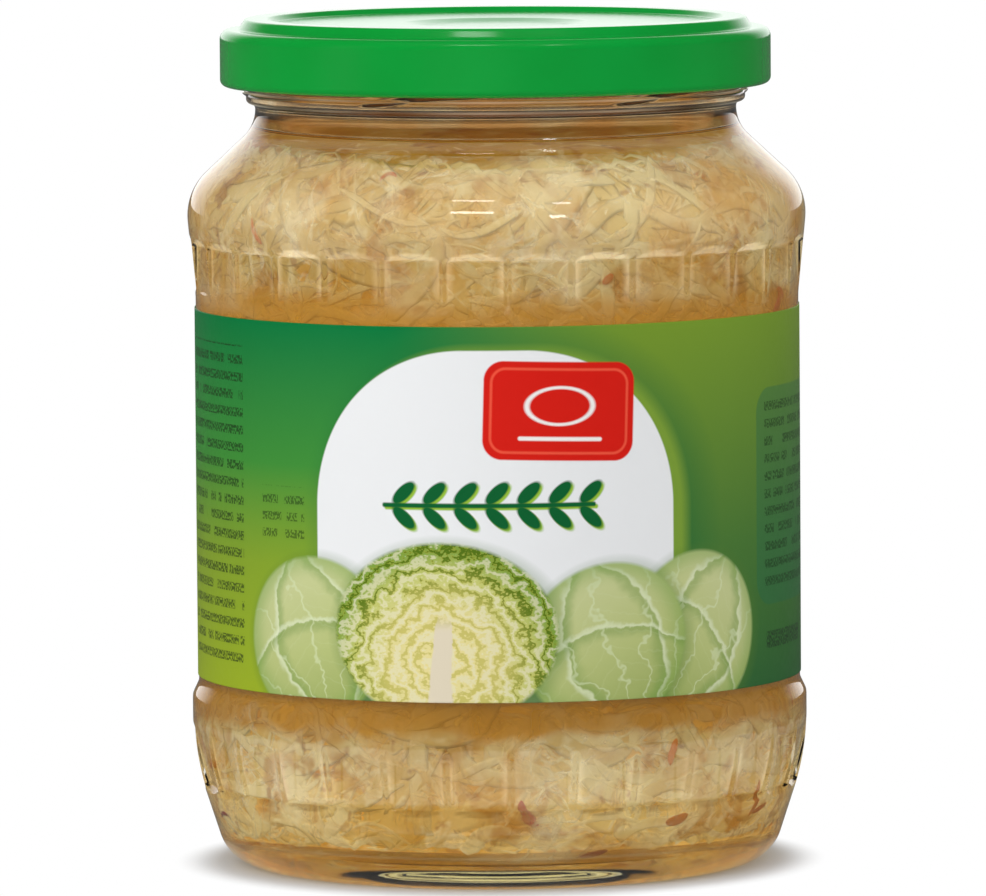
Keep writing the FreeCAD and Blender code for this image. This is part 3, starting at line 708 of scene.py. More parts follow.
def field_group():
    """Mask of a rounded rectangle turned by Turn: 1 inside, with an edge Soft wide.

    The distance to the edge is the length of max(|p| - half size + corner, 0), less the corner.
    """
    tree, s, entry, leave = group_tree("printed_field", [
        ("X", "Float", 0.0), ("Y", "Float", 0.0), ("Middle X", "Float", 0.0), ("Middle Y", "Float", 0.0),
        ("Half width", "Float", 1.0), ("Half height", "Float", 1.0), ("Corner", "Float", 0.1),
        ("Turn", "Float", 0.0), ("Soft", "Float", 0.015)], [("Mask", "Float"), ("Distance", "Float")])
    dx = s.math("SUBTRACT", entry["X"], entry["Middle X"])
    dy = s.math("SUBTRACT", entry["Y"], entry["Middle Y"])
    cos, sin = s.math("COSINE", entry["Turn"]), s.math("SINE", entry["Turn"])
    u = s.math("ADD", s.math("MULTIPLY", dx, cos), s.math("MULTIPLY", dy, sin))
    v = s.math("SUBTRACT", s.math("MULTIPLY", dy, cos), s.math("MULTIPLY", dx, sin))

    def beyond(value, half):
        inner = s.math("SUBTRACT", half, entry["Corner"])
        return s.math("MAXIMUM", s.math("SUBTRACT", s.math("ABSOLUTE", value), inner), 0.0)

    bu, bv = beyond(u, entry["Half width"]), beyond(v, entry["Half height"])
    far = s.math("SQRT", s.math("ADD", s.math("MULTIPLY", bu, bu), s.math("MULTIPLY", bv, bv)))
    distance = s.math("SUBTRACT", far, entry["Corner"])
    s.put(leave["Distance"], distance)
    s.put(leave["Mask"], s.math("SUBTRACT", 1.0, s.math("DIVIDE", s.math("ADD", distance, entry["Soft"]),
                                                        s.math("MULTIPLY", entry["Soft"], 2.0), clamp=True)))
    return tree


def oval_group():
    """Mask of an oval turned by Turn, and Reach: 0 at its middle and 1 at its edge."""
    tree, s, entry, leave = group_tree("printed_oval", [
        ("X", "Float", 0.0), ("Y", "Float", 0.0), ("Middle X", "Float", 0.0), ("Middle Y", "Float", 0.0),
        ("Half width", "Float", 1.0), ("Half height", "Float", 1.0), ("Turn", "Float", 0.0),
        ("Soft", "Float", 0.02)], [("Mask", "Float"), ("Reach", "Float"), ("U", "Float"), ("V", "Float")])
    dx = s.math("SUBTRACT", entry["X"], entry["Middle X"])
    dy = s.math("SUBTRACT", entry["Y"], entry["Middle Y"])
    cos, sin = s.math("COSINE", entry["Turn"]), s.math("SINE", entry["Turn"])
    u = s.math("DIVIDE", s.math("ADD", s.math("MULTIPLY", dx, cos), s.math("MULTIPLY", dy, sin)),
               entry["Half width"])
    v = s.math("DIVIDE", s.math("SUBTRACT", s.math("MULTIPLY", dy, cos), s.math("MULTIPLY", dx, sin)),
               entry["Half height"])
    reach = s.math("SQRT", s.math("ADD", s.math("MULTIPLY", u, u), s.math("MULTIPLY", v, v)))
    s.put(leave["U"], u)
    s.put(leave["V"], v)
    s.put(leave["Reach"], reach)
    s.put(leave["Mask"], s.math("SUBTRACT", 1.0, s.math(
        "DIVIDE", s.math("ADD", s.math("SUBTRACT", reach, 1.0), entry["Soft"]),
        s.math("MULTIPLY", entry["Soft"], 2.0), clamp=True)))
    return tree


def leaf_head_group():
    """Colour of a whole cabbage head from its own U and V, -1 to 1: folded leaves with pale veins.

    Each leaf's edge is where a bowed distance from one side passes a number; veins fan from the foot.
    """
    tree, s, entry, leave = group_tree("cabbage_head", [
        ("U", "Float", 0.0), ("V", "Float", 0.0), ("Seed", "Float", 0.0)], [("Color", "Color")])
    where = s.node("ShaderNodeCombineXYZ", {0: entry["U"], 1: entry["V"], 2: entry["Seed"]}).outputs[0]
    wander = s.noise(where, 2.2, 3.0).outputs[0]
    fine = s.noise(where, 9.0, 4.0).outputs[0]
    drift = s.math("SUBTRACT", wander, 0.5)
    u = s.math("ADD", entry["U"], s.math("MULTIPLY", drift, 0.35))
    v = s.math("ADD", entry["V"], s.math("MULTIPLY", s.math("SUBTRACT", fine, 0.5), 0.12))
    colour = s.ramp(s.math("ADD", s.math("MULTIPLY", v, 0.42), 0.5),
                    [(0.0, paint(146, 164, 84)), (0.45, paint(184, 194, 124)), (1.0, paint(206, 210, 156))])
    fan = s.math("ARCTAN2", u, s.math("ADD", v, 1.35))
    ribs = s.math("ABSOLUTE", s.math("SINE", s.math("ADD", s.math("MULTIPLY", fan, 9.0),
                                                     s.math("MULTIPLY", drift, 3.0))))
    vein = s.math("SUBTRACT", 1.0, s.step(ribs, 0.03, 0.2))
    twig = s.math("SUBTRACT", 1.0, s.step(s.math("ABSOLUTE", s.math("SINE", s.math(
        "ADD", s.math("MULTIPLY", v, 13.0), s.math("MULTIPLY", s.math("ABSOLUTE", u), 9.0)))), 0.03, 0.22))
    for side, place in ((1.0, 0.62), (-1.0, 0.5), (0.0, 0.2)):
        if side:
            bowed = s.math("ADD", s.math("MULTIPLY", u, side),
                           s.math("MULTIPLY", s.math("MULTIPLY", v, v), 0.42))
        else:
            bowed = s.math("ADD", s.math("ADD", v, s.math("MULTIPLY", u, 0.25)),
                           s.math("MULTIPLY", s.math("MULTIPLY", u, u), 0.5))
        over = s.math("SUBTRACT", bowed, place)
        shadow = s.math("MULTIPLY", s.step(over, -0.16, 0.0), s.math("SUBTRACT", 1.0, s.step(over, 0.0, 0.03)))
        colour = s.mix(s.math("MULTIPLY", shadow, 0.5), colour, paint(120, 152, 74))
        rim = s.math("MULTIPLY", s.step(over, 0.0, 0.03), s.math("SUBTRACT", 1.0, s.step(over, 0.03, 0.1)))
        colour = s.mix(s.math("MULTIPLY", rim, 0.6), colour, paint(226, 234, 200))
    colour = s.mix(s.math("MULTIPLY", vein, 0.5), colour, paint(216, 226, 182))
    colour = s.mix(s.math("MULTIPLY", twig, 0.1), colour, paint(212, 222, 176))
    edge = s.step(s.math("ADD", s.math("MULTIPLY", entry["U"], entry["U"]),
                         s.math("MULTIPLY", entry["V"], entry["V"])), 0.45, 1.05)
    colour = s.mix(s.math("MULTIPLY", edge, 0.55), colour, paint(120, 160, 70))
    s.put(leave["Color"], colour)
    return tree


def cut_head_group():
    """Colour of a halved cabbage from its own U and V: wavy layers round a pale stalk.

    The layers are a sine of the distance from a point above the foot, pushed about by noise.
    """
    tree, s, entry, leave = group_tree("cabbage_half", [
        ("U", "Float", 0.0), ("V", "Float", 0.0), ("Seed", "Float", 0.0)], [("Color", "Color")])
    where = s.node("ShaderNodeCombineXYZ", {0: entry["U"], 1: entry["V"], 2: entry["Seed"]}).outputs[0]
    wander = s.math("SUBTRACT", s.noise(where, 3.6, 4.0, 0.65).outputs[0], 0.5)
    lump = s.math("SUBTRACT", s.noise(where, 1.7, 2.0).outputs[0], 0.5)
    low = s.math("ADD", entry["V"], 0.35)
    reach = s.math("SQRT", s.math("ADD", s.math("MULTIPLY", entry["U"], entry["U"]),
                                  s.math("MULTIPLY", s.math("MULTIPLY", low, low), 0.62)))
    phase = s.math("ADD", s.math("MULTIPLY", reach, 40.0),
                   s.math("ADD", s.math("MULTIPLY", wander, 24.0), s.math("MULTIPLY", lump, 14.0)))
    layer = s.math("SINE", phase)
    colour = s.ramp(reach, [(0.0, paint(234, 220, 152)), (0.5, paint(224, 214, 146)),
                            (0.8, paint(196, 200, 112)), (1.0, paint(128, 160, 62))])
    gap = s.step(layer, 0.3, 0.9)
    colour = s.mix(s.math("MULTIPLY", gap, 0.6), colour, paint(188, 178, 62))
    deep = s.step(layer, 0.55, 1.0)
    colour = s.mix(s.math("MULTIPLY", deep, s.step(reach, 0.45, 1.0)), colour, paint(84, 116, 22))
    light = s.step(s.math("MULTIPLY", layer, -1.0), 0.2, 1.0)
    colour = s.mix(s.math("MULTIPLY", light, 0.6), colour, paint(232, 226, 192))
    wide = s.math("ADD", 0.13, s.math("MULTIPLY", s.math("ADD", entry["V"], 1.0), -0.05))
    inside = s.math("SUBTRACT", 1.0, s.step(s.math("ABSOLUTE", s.math(
        "ADD", entry["U"], s.math("MULTIPLY", wander, 0.1))), s.math("MULTIPLY", wide, 0.8), wide))
    stalk = s.math("MULTIPLY", inside, s.math("SUBTRACT", 1.0, s.step(entry["V"], 0.0, 0.25)))
    colour = s.mix(stalk, colour, paint(226, 214, 188))
    s.put(leave["Color"], colour)
    return tree


def glassy(name, colour, ior, rough, density=0.0, absorb=(1, 1, 1), moulded=False):
    """Clear material for glass and brine.

    Moulded glass is slightly wavy, with painted highlights (a pale emission) along its ledges, painted shade in
    its colour on the low ones, and painted amber in its foot, a painted reflection of the brine's colour.
    """
    s = Shade(name)
    body = s.node("ShaderNodeBsdfPrincipled", {
        "Base Color": colour, "Roughness": rough, "IOR": ior, "Transmission Weight": 1.0})
    if moulded:
        where = s.node("ShaderNodeTexCoord").outputs["Object"]
        lumps = s.noise(where, 28.0, 2.0).outputs[0]
        s.put(body.inputs["Normal"], s.node("ShaderNodeBump", {
            "Strength": 1.0, "Distance": 0.00025, "Height": lumps}).outputs[0])
        pale = s.node("ShaderNodeAttribute", attribute_name="pale").outputs["Fac"]
        dark = s.node("ShaderNodeAttribute", attribute_name="dark").outputs["Fac"]
        # Painted highlight: a pale emission along the ledges, ribs and bead.
        s.put(body.inputs["Emission Color"], s.mix(pale, (0.0, 0.0, 0.0), (0.27, 0.24, 0.17)))
        s.put(body.inputs["Emission Strength"], 1.0)
        foot = s.node("ShaderNodeSeparateXYZ", {0: where}).outputs[2]
        # Painted reflection: the glass's foot is tinted amber, the brine's colour.
        foot_painted_amber = s.mix(s.step(foot, 0.003, 0.006), paint(240, 224, 150), colour)
        # Painted shade: darker colour on the low ledges.
        s.put(body.inputs["Base Color"], s.mix(s.math("MULTIPLY", dark, 0.7), foot_painted_amber, paint(150, 126, 70)))
    volume = None
    if density:
        volume = s.node("ShaderNodeVolumeAbsorption", {"Color": absorb, "Density": density}).outputs[0]
    return s.finish(body.outputs[0], volume)


def label_shadow_bands():
    """Painted label shadow: 1 just above and just below the label, with a ragged far edge, in metres of height.
    """
    tree, s, entry, leave = group_tree("label_shadow_bands", [("Height", "Float", 0.0), ("Cloud", "Float", 0.5)],
                                       [("Mask", "Float")])
    height = entry["Height"]
    ragged = s.math("ADD", height, s.math("MULTIPLY", s.math("SUBTRACT", entry["Cloud"], 0.5), 0.010))
    above = s.math("MULTIPLY", s.step(height, 0.080, 0.086),
                   s.math("SUBTRACT", 1.0, s.step(ragged, 0.0875, 0.0925)))
    below = s.math("MULTIPLY", s.step(ragged, 0.0235, 0.0255),
                   s.math("SUBTRACT", 1.0, s.step(height, 0.031, 0.036)))
    s.put(leave["Mask"], s.math("ADD", above, below))
    return tree


LABEL_SHADOW_BANDS = label_shadow_bands()


def shred_material(name, pale, deep, stain, glow=0.1):
    """Wet cabbage: each shred has its own tone from the print's first number, with finer streaks.

    Amber gathers in clouds. A darker amber band just above and below the label is painted shadow of the label.
    The glow is painted light: it stands in for the light that goes round inside wet cabbage.
    """
    s = Shade(name)
    uv = s.node("ShaderNodeUVMap", uv_map="print").outputs[0]
    where = s.node("ShaderNodeTexCoord").outputs["Object"]
    tone = s.node("ShaderNodeSeparateXYZ", {0: uv}).outputs[0]
    cloud = s.noise(where, 48.0, 2.5, 0.62).outputs[0]
    lighter = s.step(s.math("ADD", s.math("MULTIPLY", tone, 0.14), cloud), 0.42, 0.7)
    colour = s.mix(lighter, deep, pale)
    spread = s.noise(where, 85.0, 2.0, 0.65).outputs[0]
    patch = s.noise(s.node("ShaderNodeVectorMath", {0: where, 1: (0.4, 0.7, 0.2)}).outputs[0], 100.0, 2.5,
                    0.65, 0.8).outputs[0]
    stained = s.math("MULTIPLY", s.step(patch, 0.5, 0.64), s.step(spread, 0.4, 0.55))
    colour = s.mix(s.math("MULTIPLY", stained, 0.85), colour, stain)
    streak = s.noise(where, 210.0, 2.0, 0.6, 1.4).outputs[0]
    colour = s.mix(s.math("MULTIPLY", s.step(streak, 0.52, 0.72), 0.55), colour, paint(240, 224, 176))
    height = s.node("ShaderNodeSeparateXYZ", {0: where}).outputs[2]
    band = s.group(LABEL_SHADOW_BANDS, Height=height, Cloud=cloud).outputs["Mask"]
    spots = s.step(s.noise(where, 240.0, 2.0, 0.6).outputs[0], 0.64, 0.72)
    colour = s.mix(s.math("MULTIPLY", spots, 0.6), colour, paint(158, 98, 34))
    # Painted shadow of the label: darker amber just above and below it.
    colour = s.mix(s.math("MULTIPLY", band, 0.75), colour, paint(204, 148, 50))
    # Painted light: the glow is 2.3 times as strong near the bottom as higher up.
    strength = s.blend(s.step(height, 0.005, 0.024), 2.3, 1.0)
    glowing = s.node("ShaderNodeVectorMath", {0: colour, "Scale": strength}, operation="SCALE").outputs[0]
    body = s.node("ShaderNodeBsdfPrincipled", {
        "Base Color": colour, "Roughness": 0.55, "IOR": 1.38, "Emission Color": glowing,
        "Emission Strength": glow})
    s.put(body.inputs["Normal"], s.node("ShaderNodeBump", {
        "Strength": 0.5, "Distance": 0.0002, "Height": s.noise(where, 900.0, 1.0).outputs[0]}).outputs[0])
    return s.finish(body.outputs[0])


def film_material():
    """Brown, clear and patchy, darker in clouds."""
    s = Shade("neck_film_brown")
    where = s.node("ShaderNodeTexCoord").outputs["Object"]
    stretched = s.node("ShaderNodeVectorMath", {0: where, 1: (1.0, 1.0, 0.35)}, operation="MULTIPLY").outputs[0]
    cloud = s.noise(stretched, 110.0, 3.0, 0.6).outputs[0]
    colour = s.mix(s.step(cloud, 0.35, 0.68), paint(250, 216, 168), paint(254, 238, 208))
    body = s.node("ShaderNodeBsdfPrincipled", {
        "Base Color": colour, "Roughness": 0.12, "IOR": 1.333, "Transmission Weight": 1.0})
    return s.finish(body.outputs[0])


def haze_material():
    """Pale and amber clouds, mostly clear, with drawn-out wisps, a painted glow and painted label shadow bands.
    """
    s = Shade("brine_clouds")
    where = s.node("ShaderNodeTexCoord").outputs["Object"]
    cloud = s.noise(where, 70.0, 2.5, 0.6, 0.6).outputs[0]
    moved = s.node("ShaderNodeVectorMath", {0: where, 1: (0.3, 0.9, 0.5)}).outputs[0]
    other = s.noise(moved, 50.0, 3.0).outputs[0]
    wisp = s.noise(where, 170.0, 3.0, 0.6, 2.2).outputs[0]
    colour = s.mix(s.step(other, 0.42, 0.6), paint(204, 150, 58), paint(242, 228, 190))
    height = s.node("ShaderNodeSeparateXYZ", {0: where}).outputs[2]
    band = s.group(LABEL_SHADOW_BANDS, Height=height, Cloud=cloud).outputs["Mask"]
    # Painted shadow of the label: amber and thicker just above and below it.
    colour = s.mix(band, colour, paint(206, 150, 48))
    thick = s.math("ADD", s.math("MULTIPLY", s.step(cloud, 0.38, 0.68), 0.24),
                   s.math("MULTIPLY", s.step(wisp, 0.52, 0.68), 0.26))
    thick = s.math("ADD", thick, s.math("MULTIPLY", band, 0.12))
    # Painted light: the clouds glow a little.
    body = s.node("ShaderNodeBsdfPrincipled", {
        "Base Color": colour, "Roughness": 0.8, "Alpha": s.math("ADD", thick, 0.02), "Specular IOR Level": 0.0,
        "Emission Color": colour, "Emission Strength": 0.19})
    return s.finish(body.outputs[0])


def fleck_material():
    """Chilli red, carrot orange or red-cabbage purple, by each sliver's own tone."""
    s = Shade("fleck_colours")
    where = s.node("ShaderNodeTexCoord").outputs["Object"]
    uv = s.node("ShaderNodeUVMap", uv_map="print").outputs[0]
    tone = s.node("ShaderNodeSeparateXYZ", {0: uv}).outputs[0]
    colour = s.ramp(tone, [(0.0, paint(186, 50, 24)), (0.3, paint(182, 88, 34)), (0.55, paint(220, 132, 46)),
                           (0.8, paint(206, 134, 58)), (1.0, paint(146, 56, 60))])
    cloud = s.noise(where, 500.0, 2.0).outputs[0]
    colour = s.mix(s.math("MULTIPLY", s.step(cloud, 0.4, 0.75), 0.4), colour, paint(206, 150, 84))
    # Painted light: the slivers glow a little, to lift them out of shade.
    body = s.node("ShaderNodeBsdfPrincipled", {
        "Base Color": colour, "Roughness": 0.5, "Emission Color": colour, "Emission Strength": 0.2})
    s.put(body.inputs["Normal"], s.node("ShaderNodeBump", {
        "Strength": 0.5, "Distance": 0.0001, "Height": cloud}).outputs[0])
    return s.finish(body.outputs[0])


def plain_material(name, colour, rough, grain=None, **more):
    """One colour with a little cloudiness, and a grain of its own size and depth."""
    s = Shade(name)
    where = s.node("ShaderNodeTexCoord").outputs["Object"]
    cloud = s.noise(where, 60.0, 2.0).outputs[0]
    darker = tuple(c * 0.86 for c in colour)
    inputs = {"Base Color": s.mix(s.step(cloud, 0.3, 0.7), darker, colour), "Roughness": rough}
    inputs.update(more)
    body = s.node("ShaderNodeBsdfPrincipled", inputs)
    if grain:
        s.put(body.inputs["Normal"], s.node("ShaderNodeBump", {
            "Strength": 1.0, "Distance": grain[1],
            "Height": s.noise(where, grain[0], 2.0).outputs[0]}).outputs[0])
    return s.finish(body.outputs[0])


def cap_material():
    """Gloss green lacquer over tinplate, with the faint waviness of pressed sheet."""
    s = Shade("cap_green_lacquer")
    where = s.node("ShaderNodeTexCoord").outputs["Object"]
    cloud = s.noise(where, 35.0, 2.0).outputs[0]
    colour = s.mix(s.step(cloud, 0.3, 0.7), paint(0, 150, 50), paint(0, 158, 56))
    speck = s.noise(where, 1500.0, 2.0).outputs[0]
    body = s.node("ShaderNodeBsdfPrincipled", {
        "Base Color": colour, "Roughness": 0.16, "IOR": 1.5})
    height = s.math("ADD", s.math("MULTIPLY", cloud, 1.0), s.math("MULTIPLY", speck, 0.06))
    s.put(body.inputs["Normal"], s.node("ShaderNodeBump", {
        "Strength": 0.6, "Distance": 0.0001, "Height": height}).outputs[0])
    return s.finish(body.outputs[0])


def label_material():
    """The print: a green ground that changes across the paper, plain fields of colour and cabbages."""
    s = Shade("label_print")
    field, oval = field_group(), oval_group()
    head, half = leaf_head_group(), cut_head_group()
    uv = s.node("ShaderNodeUVMap", uv_map="print").outputs[0]
    parts = s.node("ShaderNodeSeparateXYZ", {0: uv})
    x, y = parts.outputs[0], parts.outputs[1]

    def box(cx, cy, w, h, corner=0.05, turn=0.0, soft=0.012):
        node = s.group(field, X=x, Y=y, Middle_X=cx, Middle_Y=cy, Half_width=w / 2, Half_height=h / 2,
                       Corner=min(corner, w / 2, h / 2), Turn=turn, Soft=soft)
        return node.outputs["Mask"]

    def disc(cx, cy, w, h, turn=0.0, soft=0.012):
        return s.group(oval, X=x, Y=y, Middle_X=cx, Middle_Y=cy, Half_width=w / 2, Half_height=h / 2,
                       Turn=turn, Soft=soft / min(w, h) * 2)

    # Ground: deep green high on the left of the middle, yellow-green low on the left, olive high on the
    # right, deep green low on the right.
    up = s.math("DIVIDE", y, 5.71)
    left = s.ramp(up, [(0.0, paint(155, 176, 36)), (0.35, paint(132, 162, 42)), (0.62, paint(62, 142, 54)),
                       (1.0, paint(0, 120, 60))])
    right = s.ramp(up, [(0.0, paint(50, 104, 54)), (0.4, paint(76, 124, 53)), (1.0, paint(120, 153, 46))])
    colour = s.mix(s.step(x, -1.8, 2.6), left, right)
    around = s.math("ABSOLUTE", x)
    colour = s.mix(s.step(around, 7.0, 9.0), colour, s.ramp(up, [
        (0.0, paint(96, 146, 48)), (1.0, paint(20, 124, 58))]))

    # White arch with a soft shade to its right.
    shade_edge = box(0.3, 1.3, 6.2, 8.2, 2.6, 0.0, 0.4)
    colour = s.mix(s.math("MULTIPLY", shade_edge, 0.6), colour, paint(20, 106, 54))
    sweep = box(0.1, 1.3, 5.95, 8.15, 2.5, 0.0, 0.1)
    colour = s.mix(s.math("MULTIPLY", sweep, 0.85), colour, paint(132, 164, 56))
    arch = box(-0.06, 1.3, 5.76, 8.1, 2.4)
    colour = s.mix(arch, colour, paint(236, 237, 237))

    # Red panel with a pale band.
    colour = s.mix(box(0.95, 4.42, 2.35, 1.5, 0.3, -0.03), colour, paint(216, 28, 16))
    colour = s.mix(box(0.95, 4.42, 2.16, 1.31, 0.24, -0.03), colour, paint(240, 84, 60))
    colour = s.mix(box(0.95, 4.42, 2.08, 1.23, 0.2, -0.03), colour, paint(216, 28, 16))

    for width, ink in ((1.1, paint(244, 240, 236)), (0.94, paint(216, 28, 16))):
        ring = disc(0.95, 4.5, width, width * 0.55, 0.0)
        colour = s.mix(ring.outputs["Mask"], colour, ink)
    colour = s.mix(box(0.95, 4.0, 1.3, 0.06, 0.03, -0.03), colour, paint(244, 240, 236))

    # A sprig in place of wording: a stem and paired leaves, with a yellow-green edge.
    for shift, ink in ((0.035, paint(150, 190, 60)), (0.0, paint(8, 98, 48))):
        colour = s.mix(box(-0.15 + shift, 3.0 - shift, 3.3, 0.07, 0.03), colour, ink)
        for i in range(7):
            px = -1.6 + 0.48 * i + shift
            for way in (1, -1):
                leaf = disc(px + 0.14, 3.0 + way * 0.19 - shift, 0.46, 0.2, way * 0.75).outputs["Mask"]
                colour = s.mix(leaf, colour, ink)

    foot = s.math("MULTIPLY", box(0.3, 0.1, 6.6, 1.1, 0.3, 0.0, 0.25), 0.9)
    colour = s.mix(foot, colour, paint(82, 118, 48))

    # Cabbages along the foot: a halved one to the left, whole ones beside and behind it.
    for cx, cy, w, h, turn, seed, kind in (
            (3.3, 0.95, 2.5, 2.5, -0.5, 4.0, head), (1.7, 0.85, 2.7, 2.45, 0.4, 9.0, head),
            (-3.05, 0.9, 2.6, 2.5, 0.35, 2.0, head), (-0.85, 1.05, 3.5, 2.75, -0.05, 6.0, half)):
        place = disc(cx, cy, w, h, turn, 0.03)
        art = s.group(kind, U=place.outputs["U"], V=place.outputs["V"], Seed=seed)
        under = disc(cx + 0.05, cy - 0.03, w + 0.14, h + 0.1, turn, 0.12).outputs["Mask"]
        colour = s.mix(s.math("MULTIPLY", under, 0.5), colour, paint(84, 124, 50))
        colour = s.mix(place.outputs["Mask"], colour, art.outputs["Color"])

    # Side panels with ruled lines in place of small print.
    glaze = box(6.35, 2.9, 3.3, 3.35, 0.4)
    colour = s.mix(s.math("MULTIPLY", glaze, 0.45), colour, paint(40, 112, 74))

    def lines(x0, x1, y0, y1, pitch, thick, ink, weight=0.85):
        """Rows of line pieces: bands in height, cut along the paper by a stepped noise."""
        nonlocal colour
        inside = box((x0 + x1) / 2, (y0 + y1) / 2, x1 - x0, y1 - y0, 0.01)
        row = s.math("DIVIDE", s.math("SUBTRACT", y, y0), pitch)
        number = s.math("FLOOR", row)
        across = s.math("ABSOLUTE", s.math("SUBTRACT", s.math("FRACT", row), 0.5))
        band = s.math("LESS_THAN", across, thick / pitch / 2)
        cell = s.node("ShaderNodeCombineXYZ", {0: x, 1: s.math("MULTIPLY", number, 7.3)}).outputs[0]
        words = s.noise(cell, 3.4, 1.0).outputs[0]
        strokes = s.noise(s.node("ShaderNodeCombineXYZ", {0: x, 1: s.math("MULTIPLY", y, 0.6)}).outputs[0],
                          34.0, 0.0).outputs[0]
        gap = s.math("MULTIPLY", s.step(words, 0.36, 0.4), s.step(strokes, 0.42, 0.52))
        mask = s.math("MULTIPLY", s.math("MULTIPLY", band, inside), s.math("MULTIPLY", gap, weight))
        colour = s.mix(mask, colour, ink)

    dark = paint(30, 52, 24)
    lines(-6.85, -4.6, 0.35, 5.3, 0.27, 0.14, dark)
    lines(-4.1, -3.2, 2.35, 3.2, 0.26, 0.13, dark, 0.7)
    lines(4.95, 7.8, 1.45, 4.4, 0.27, 0.14, dark, 0.7)
    lines(5.0, 6.6, 0.5, 0.82, 0.36, 0.26, paint(40, 60, 40), 0.9)

    # The back: a white panel with a ruled table.
    colour = s.mix(box(11.2, 2.85, 4.2, 4.6, 0.25), colour, paint(240, 242, 236))
    lines(9.4, 13.0, 2.9, 4.8, 0.19, 0.07, dark)
    for i in range(6):
        colour = s.mix(box(11.2, 0.85 + 0.33 * i, 3.6, 0.025, 0.01), colour, paint(60, 100, 60))
    colour = s.mix(box(11.9, 1.67, 0.025, 1.65, 0.01), colour, paint(60, 100, 60))
    colour = s.mix(box(-11.3, 2.85, 3.6, 4.6, 0.25), colour, paint(222, 232, 200))
    lines(-12.9, -9.7, 0.8, 4.9, 0.19, 0.07, dark)

    fibre = s.noise(s.node("ShaderNodeTexCoord").outputs["Object"], 900.0, 3.0).outputs[0]
    body = s.node("ShaderNodeBsdfPrincipled", {
        "Base Color": colour, "Roughness": s.blend(fibre, 0.4, 0.5), "IOR": 1.45, "Specular IOR Level": 0.12})
    s.put(body.inputs["Normal"], s.node("ShaderNodeBump", {
        "Strength": 0.35, "Distance": 0.00006, "Height": fibre}).outputs[0])
    return s.finish(body.outputs[0])


# ---------------------------------------------------------------- the object

glass = glassy("clear_glass", (0.975, 0.965, 0.925), 1.5, 0.0, moulded=True)
liquid = glassy("amber_brine", (0.99, 0.965, 0.88), 1.42, 0.0, 40.0, (0.95, 0.82, 0.4))
pale_shred = shred_material("cabbage_pale", paint(232, 212, 154), paint(210, 174, 94),
                            paint(186, 130, 38), 0.22)
gold_shred = shred_material("cabbage_gold", paint(222, 194, 122), paint(204, 160, 72),
                            paint(180, 120, 26), 0.26)
core_paint = shred_material("cabbage_deep", paint(212, 172, 88), paint(200, 152, 60), paint(178, 116, 22), 0.38)
neck_film_finish = film_material()
green_lacquer = cap_material()
gold_lacquer = plain_material("cap_inside_gold", paint(176, 112, 48), 0.3, (800.0, 0.00003), Metallic=0.3)
seal_material = plain_material("seal_cream", paint(214, 206, 178), 0.6, (900.0, 0.00004))

jar = make_glass()
jar.data.materials.append(glass)
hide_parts("jar")

cap = make_cap()
cap.data.materials.append(green_lacquer)
cap.data.materials.append(gold_lacquer)
lugs = make_lugs()
lugs.data.materials.append(gold_lacquer)
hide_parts("lid")

label = make_label()
label.data.materials.append(label_material())
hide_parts("label")

brine = make_brine()
brine.data.materials.append(liquid)
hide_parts("brine")

film = make_film()
film.data.materials.append(neck_film_finish)
haze = make_haze()
haze.data.materials.append(haze_material())
flecks = make_flecks()
flecks.data.materials.append(fleck_material())

core = make_core()
core.data.materials.append(core_paint)
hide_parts("sauerkraut")

ZONES = [(4, 34, 0.44), (34, 82, 0.1), (82, 110, 0.46)]
heaps = [
    shreds("shreds_front", 850, 11, (0.0, 0.5), (1.0, 3.4), (0.2, 0.45), (9, 38), ZONES, 16, turn_up=0.6),
    shreds("shreds_second", 950, 12, (0.3, 1.0), (1.6, 5.0), (0.2, 0.45), (12, 38), ZONES, 14, turn_up=0.4),
    shreds("shreds_fine", 1300, 13, (0.0, 0.6), (0.35, 0.9), (0.2, 0.4), (5, 24), ZONES, 11, turn_up=0.8),
]
for heap, finish in zip(heaps, (pale_shred, gold_shred, pale_shred)):
    heap.data.materials.append(finish)

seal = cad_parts["lid_seal"]
seal.data.materials.clear()
seal.data.materials.append(seal_material)

for piece in (jar, cap, lugs, label, brine, film, haze, flecks, core, *heaps):
    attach(piece, "root")

# Clear pieces cast no shadow, so that the lamps light what is inside.
for piece in (jar, brine, film, haze):
    piece.visible_shadow = False

# ---------------------------------------------------------------- floor, lamps and camera


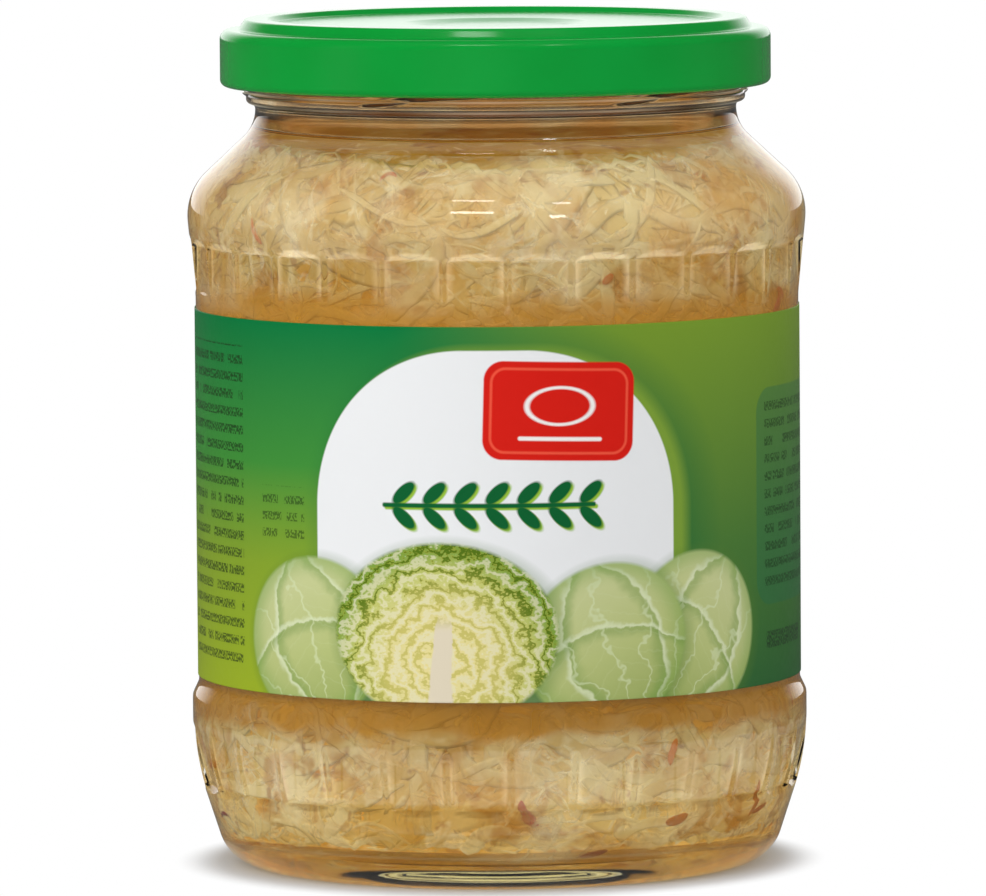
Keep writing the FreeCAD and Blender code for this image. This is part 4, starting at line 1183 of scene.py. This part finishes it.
def make_stage():
    """A pale floor that fades to plain white away from the jar, and a white surround.

    Under the jar the floor is painted amber, a painted pool of the light that comes down through the brine.
    """
    s = Shade("pale_floor")
    where = s.node("ShaderNodeTexCoord").outputs["Object"]
    far = s.node("ShaderNodeVectorMath", {0: where}, operation="LENGTH").outputs["Value"]
    path = s.node("ShaderNodeLightPath").outputs
    seen = s.math("MAXIMUM", path["Is Camera Ray"], s.math("MAXIMUM", path["Is Glossy Ray"],
                                                         path["Is Transmission Ray"]))
    # Painted light: amber floor under the jar, plain pale floor further out.
    under = s.mix(s.step(far, 0.033, 0.040), paint(176, 142, 52), (0.88, 0.89, 0.91))
    lit = s.node("ShaderNodeBsdfDiffuse", {"Color": under})
    white = s.node("ShaderNodeEmission", {"Color": (1.0, 1.0, 1.0),
                                          "Strength": s.blend(path["Is Glossy Ray"], 1.0, 0.12)})
    mask = s.math("MULTIPLY", seen, s.step(far, 0.043, 0.051))
    mixed = s.node("ShaderNodeMixShader", {0: mask, 1: lit.outputs[0], 2: white.outputs[0]})
    floor_mesh = bpy.data.meshes.new("floor")
    floor_mesh.from_pydata([(-30, -30, 0), (30, -30, 0), (30, 30, 0), (-30, 30, 0)], [], [(0, 1, 2, 3)])
    floor = bpy.data.objects.new("floor", floor_mesh)
    floor_mesh.materials.append(s.finish(mixed.outputs[0]))
    bpy.context.scene.collection.objects.link(floor)

    world = bpy.data.worlds.new("surround")
    bpy.context.scene.world = world
    world.use_nodes = True
    w = Shade("surround", world.node_tree)
    world.node_tree.nodes.clear()
    path = w.node("ShaderNodeLightPath").outputs
    way = w.node("ShaderNodeSeparateXYZ", {0: w.node("ShaderNodeTexCoord").outputs["Generated"]}).outputs
    mirrored = w.blend(w.step(way[1], 0.72, 0.98), 0.08, 1.5)
    strength = w.blend(path["Is Glossy Ray"], 0.4, mirrored)
    strength = w.blend(w.math("MAXIMUM", path["Is Camera Ray"], path["Is Transmission Ray"]), strength, 1.0)
    ground = w.node("ShaderNodeBackground", {"Color": (1.0, 1.0, 1.0), "Strength": strength})
    w.node("ShaderNodeOutputWorld", {"Surface": ground.outputs[0]})


def lamp(name, place, size, power, mirrored=True, aim=(0, 0, 0.07)):
    """A soft box at a place, turned to face aim. It shows in reflections only where mirrored."""
    data = bpy.data.lights.new(name, "AREA")
    data.shape = "RECTANGLE"
    data.size, data.size_y = size
    data.energy = power
    box = bpy.data.objects.new(name, data)
    way = Vector(aim) - Vector(place)
    box.visible_glossy = box.visible_transmission = mirrored
    box.matrix_world = Matrix.Translation(place) @ way.to_track_quat("-Z", "Y").to_matrix().to_4x4()
    bpy.context.scene.collection.objects.link(box)


def make_camera():
    """A long lens in front of the jar and a little above it, rolled slightly."""
    data = bpy.data.cameras.new("camera")
    data.sensor_width, data.lens = 36, 388.8
    data.shift_x = -5.0 / 986
    data.clip_start, data.clip_end = 0.05, 100
    camera = bpy.data.objects.new("camera", data)
    place, aim = Vector((0, -1.65, 0.208)), Vector((0, 0, 0.0643))
    turn = (aim - place).to_track_quat("-Z", "Y").to_matrix().to_4x4()
    camera.matrix_world = Matrix.Translation(place) @ turn @ Matrix.Rotation(math.radians(-0.4), 4, "Z")
    bpy.context.scene.collection.objects.link(camera)
    bpy.context.scene.camera = camera


make_stage()
lamp("top_box", (0.0, -0.3, 0.75), (0.7, 0.5), 2.2, False)
lamp("left_box", (-0.8, -0.35, 0.3), (0.3, 0.7), 2.2, False)
lamp("right_box", (0.85, 0.05, 0.28), (0.3, 0.7), 1.1, False)
lamp("front_box", (-0.25, -1.3, 0.25), (0.9, 0.7), 3.3, False)
lamp("strip", (-0.12, -0.5, 0.95), (0.22, 0.06), 0.4)
lamp("spark", (0.3, -0.5, 0.8), (0.08, 0.06), 0.16)
make_camera()
bpy.context.scene.view_settings.view_transform = "Standard"
cycles = bpy.context.scene.cycles
cycles.max_bounces, cycles.diffuse_bounces, cycles.glossy_bounces, cycles.transmission_bounces = 9, 1, 2, 9
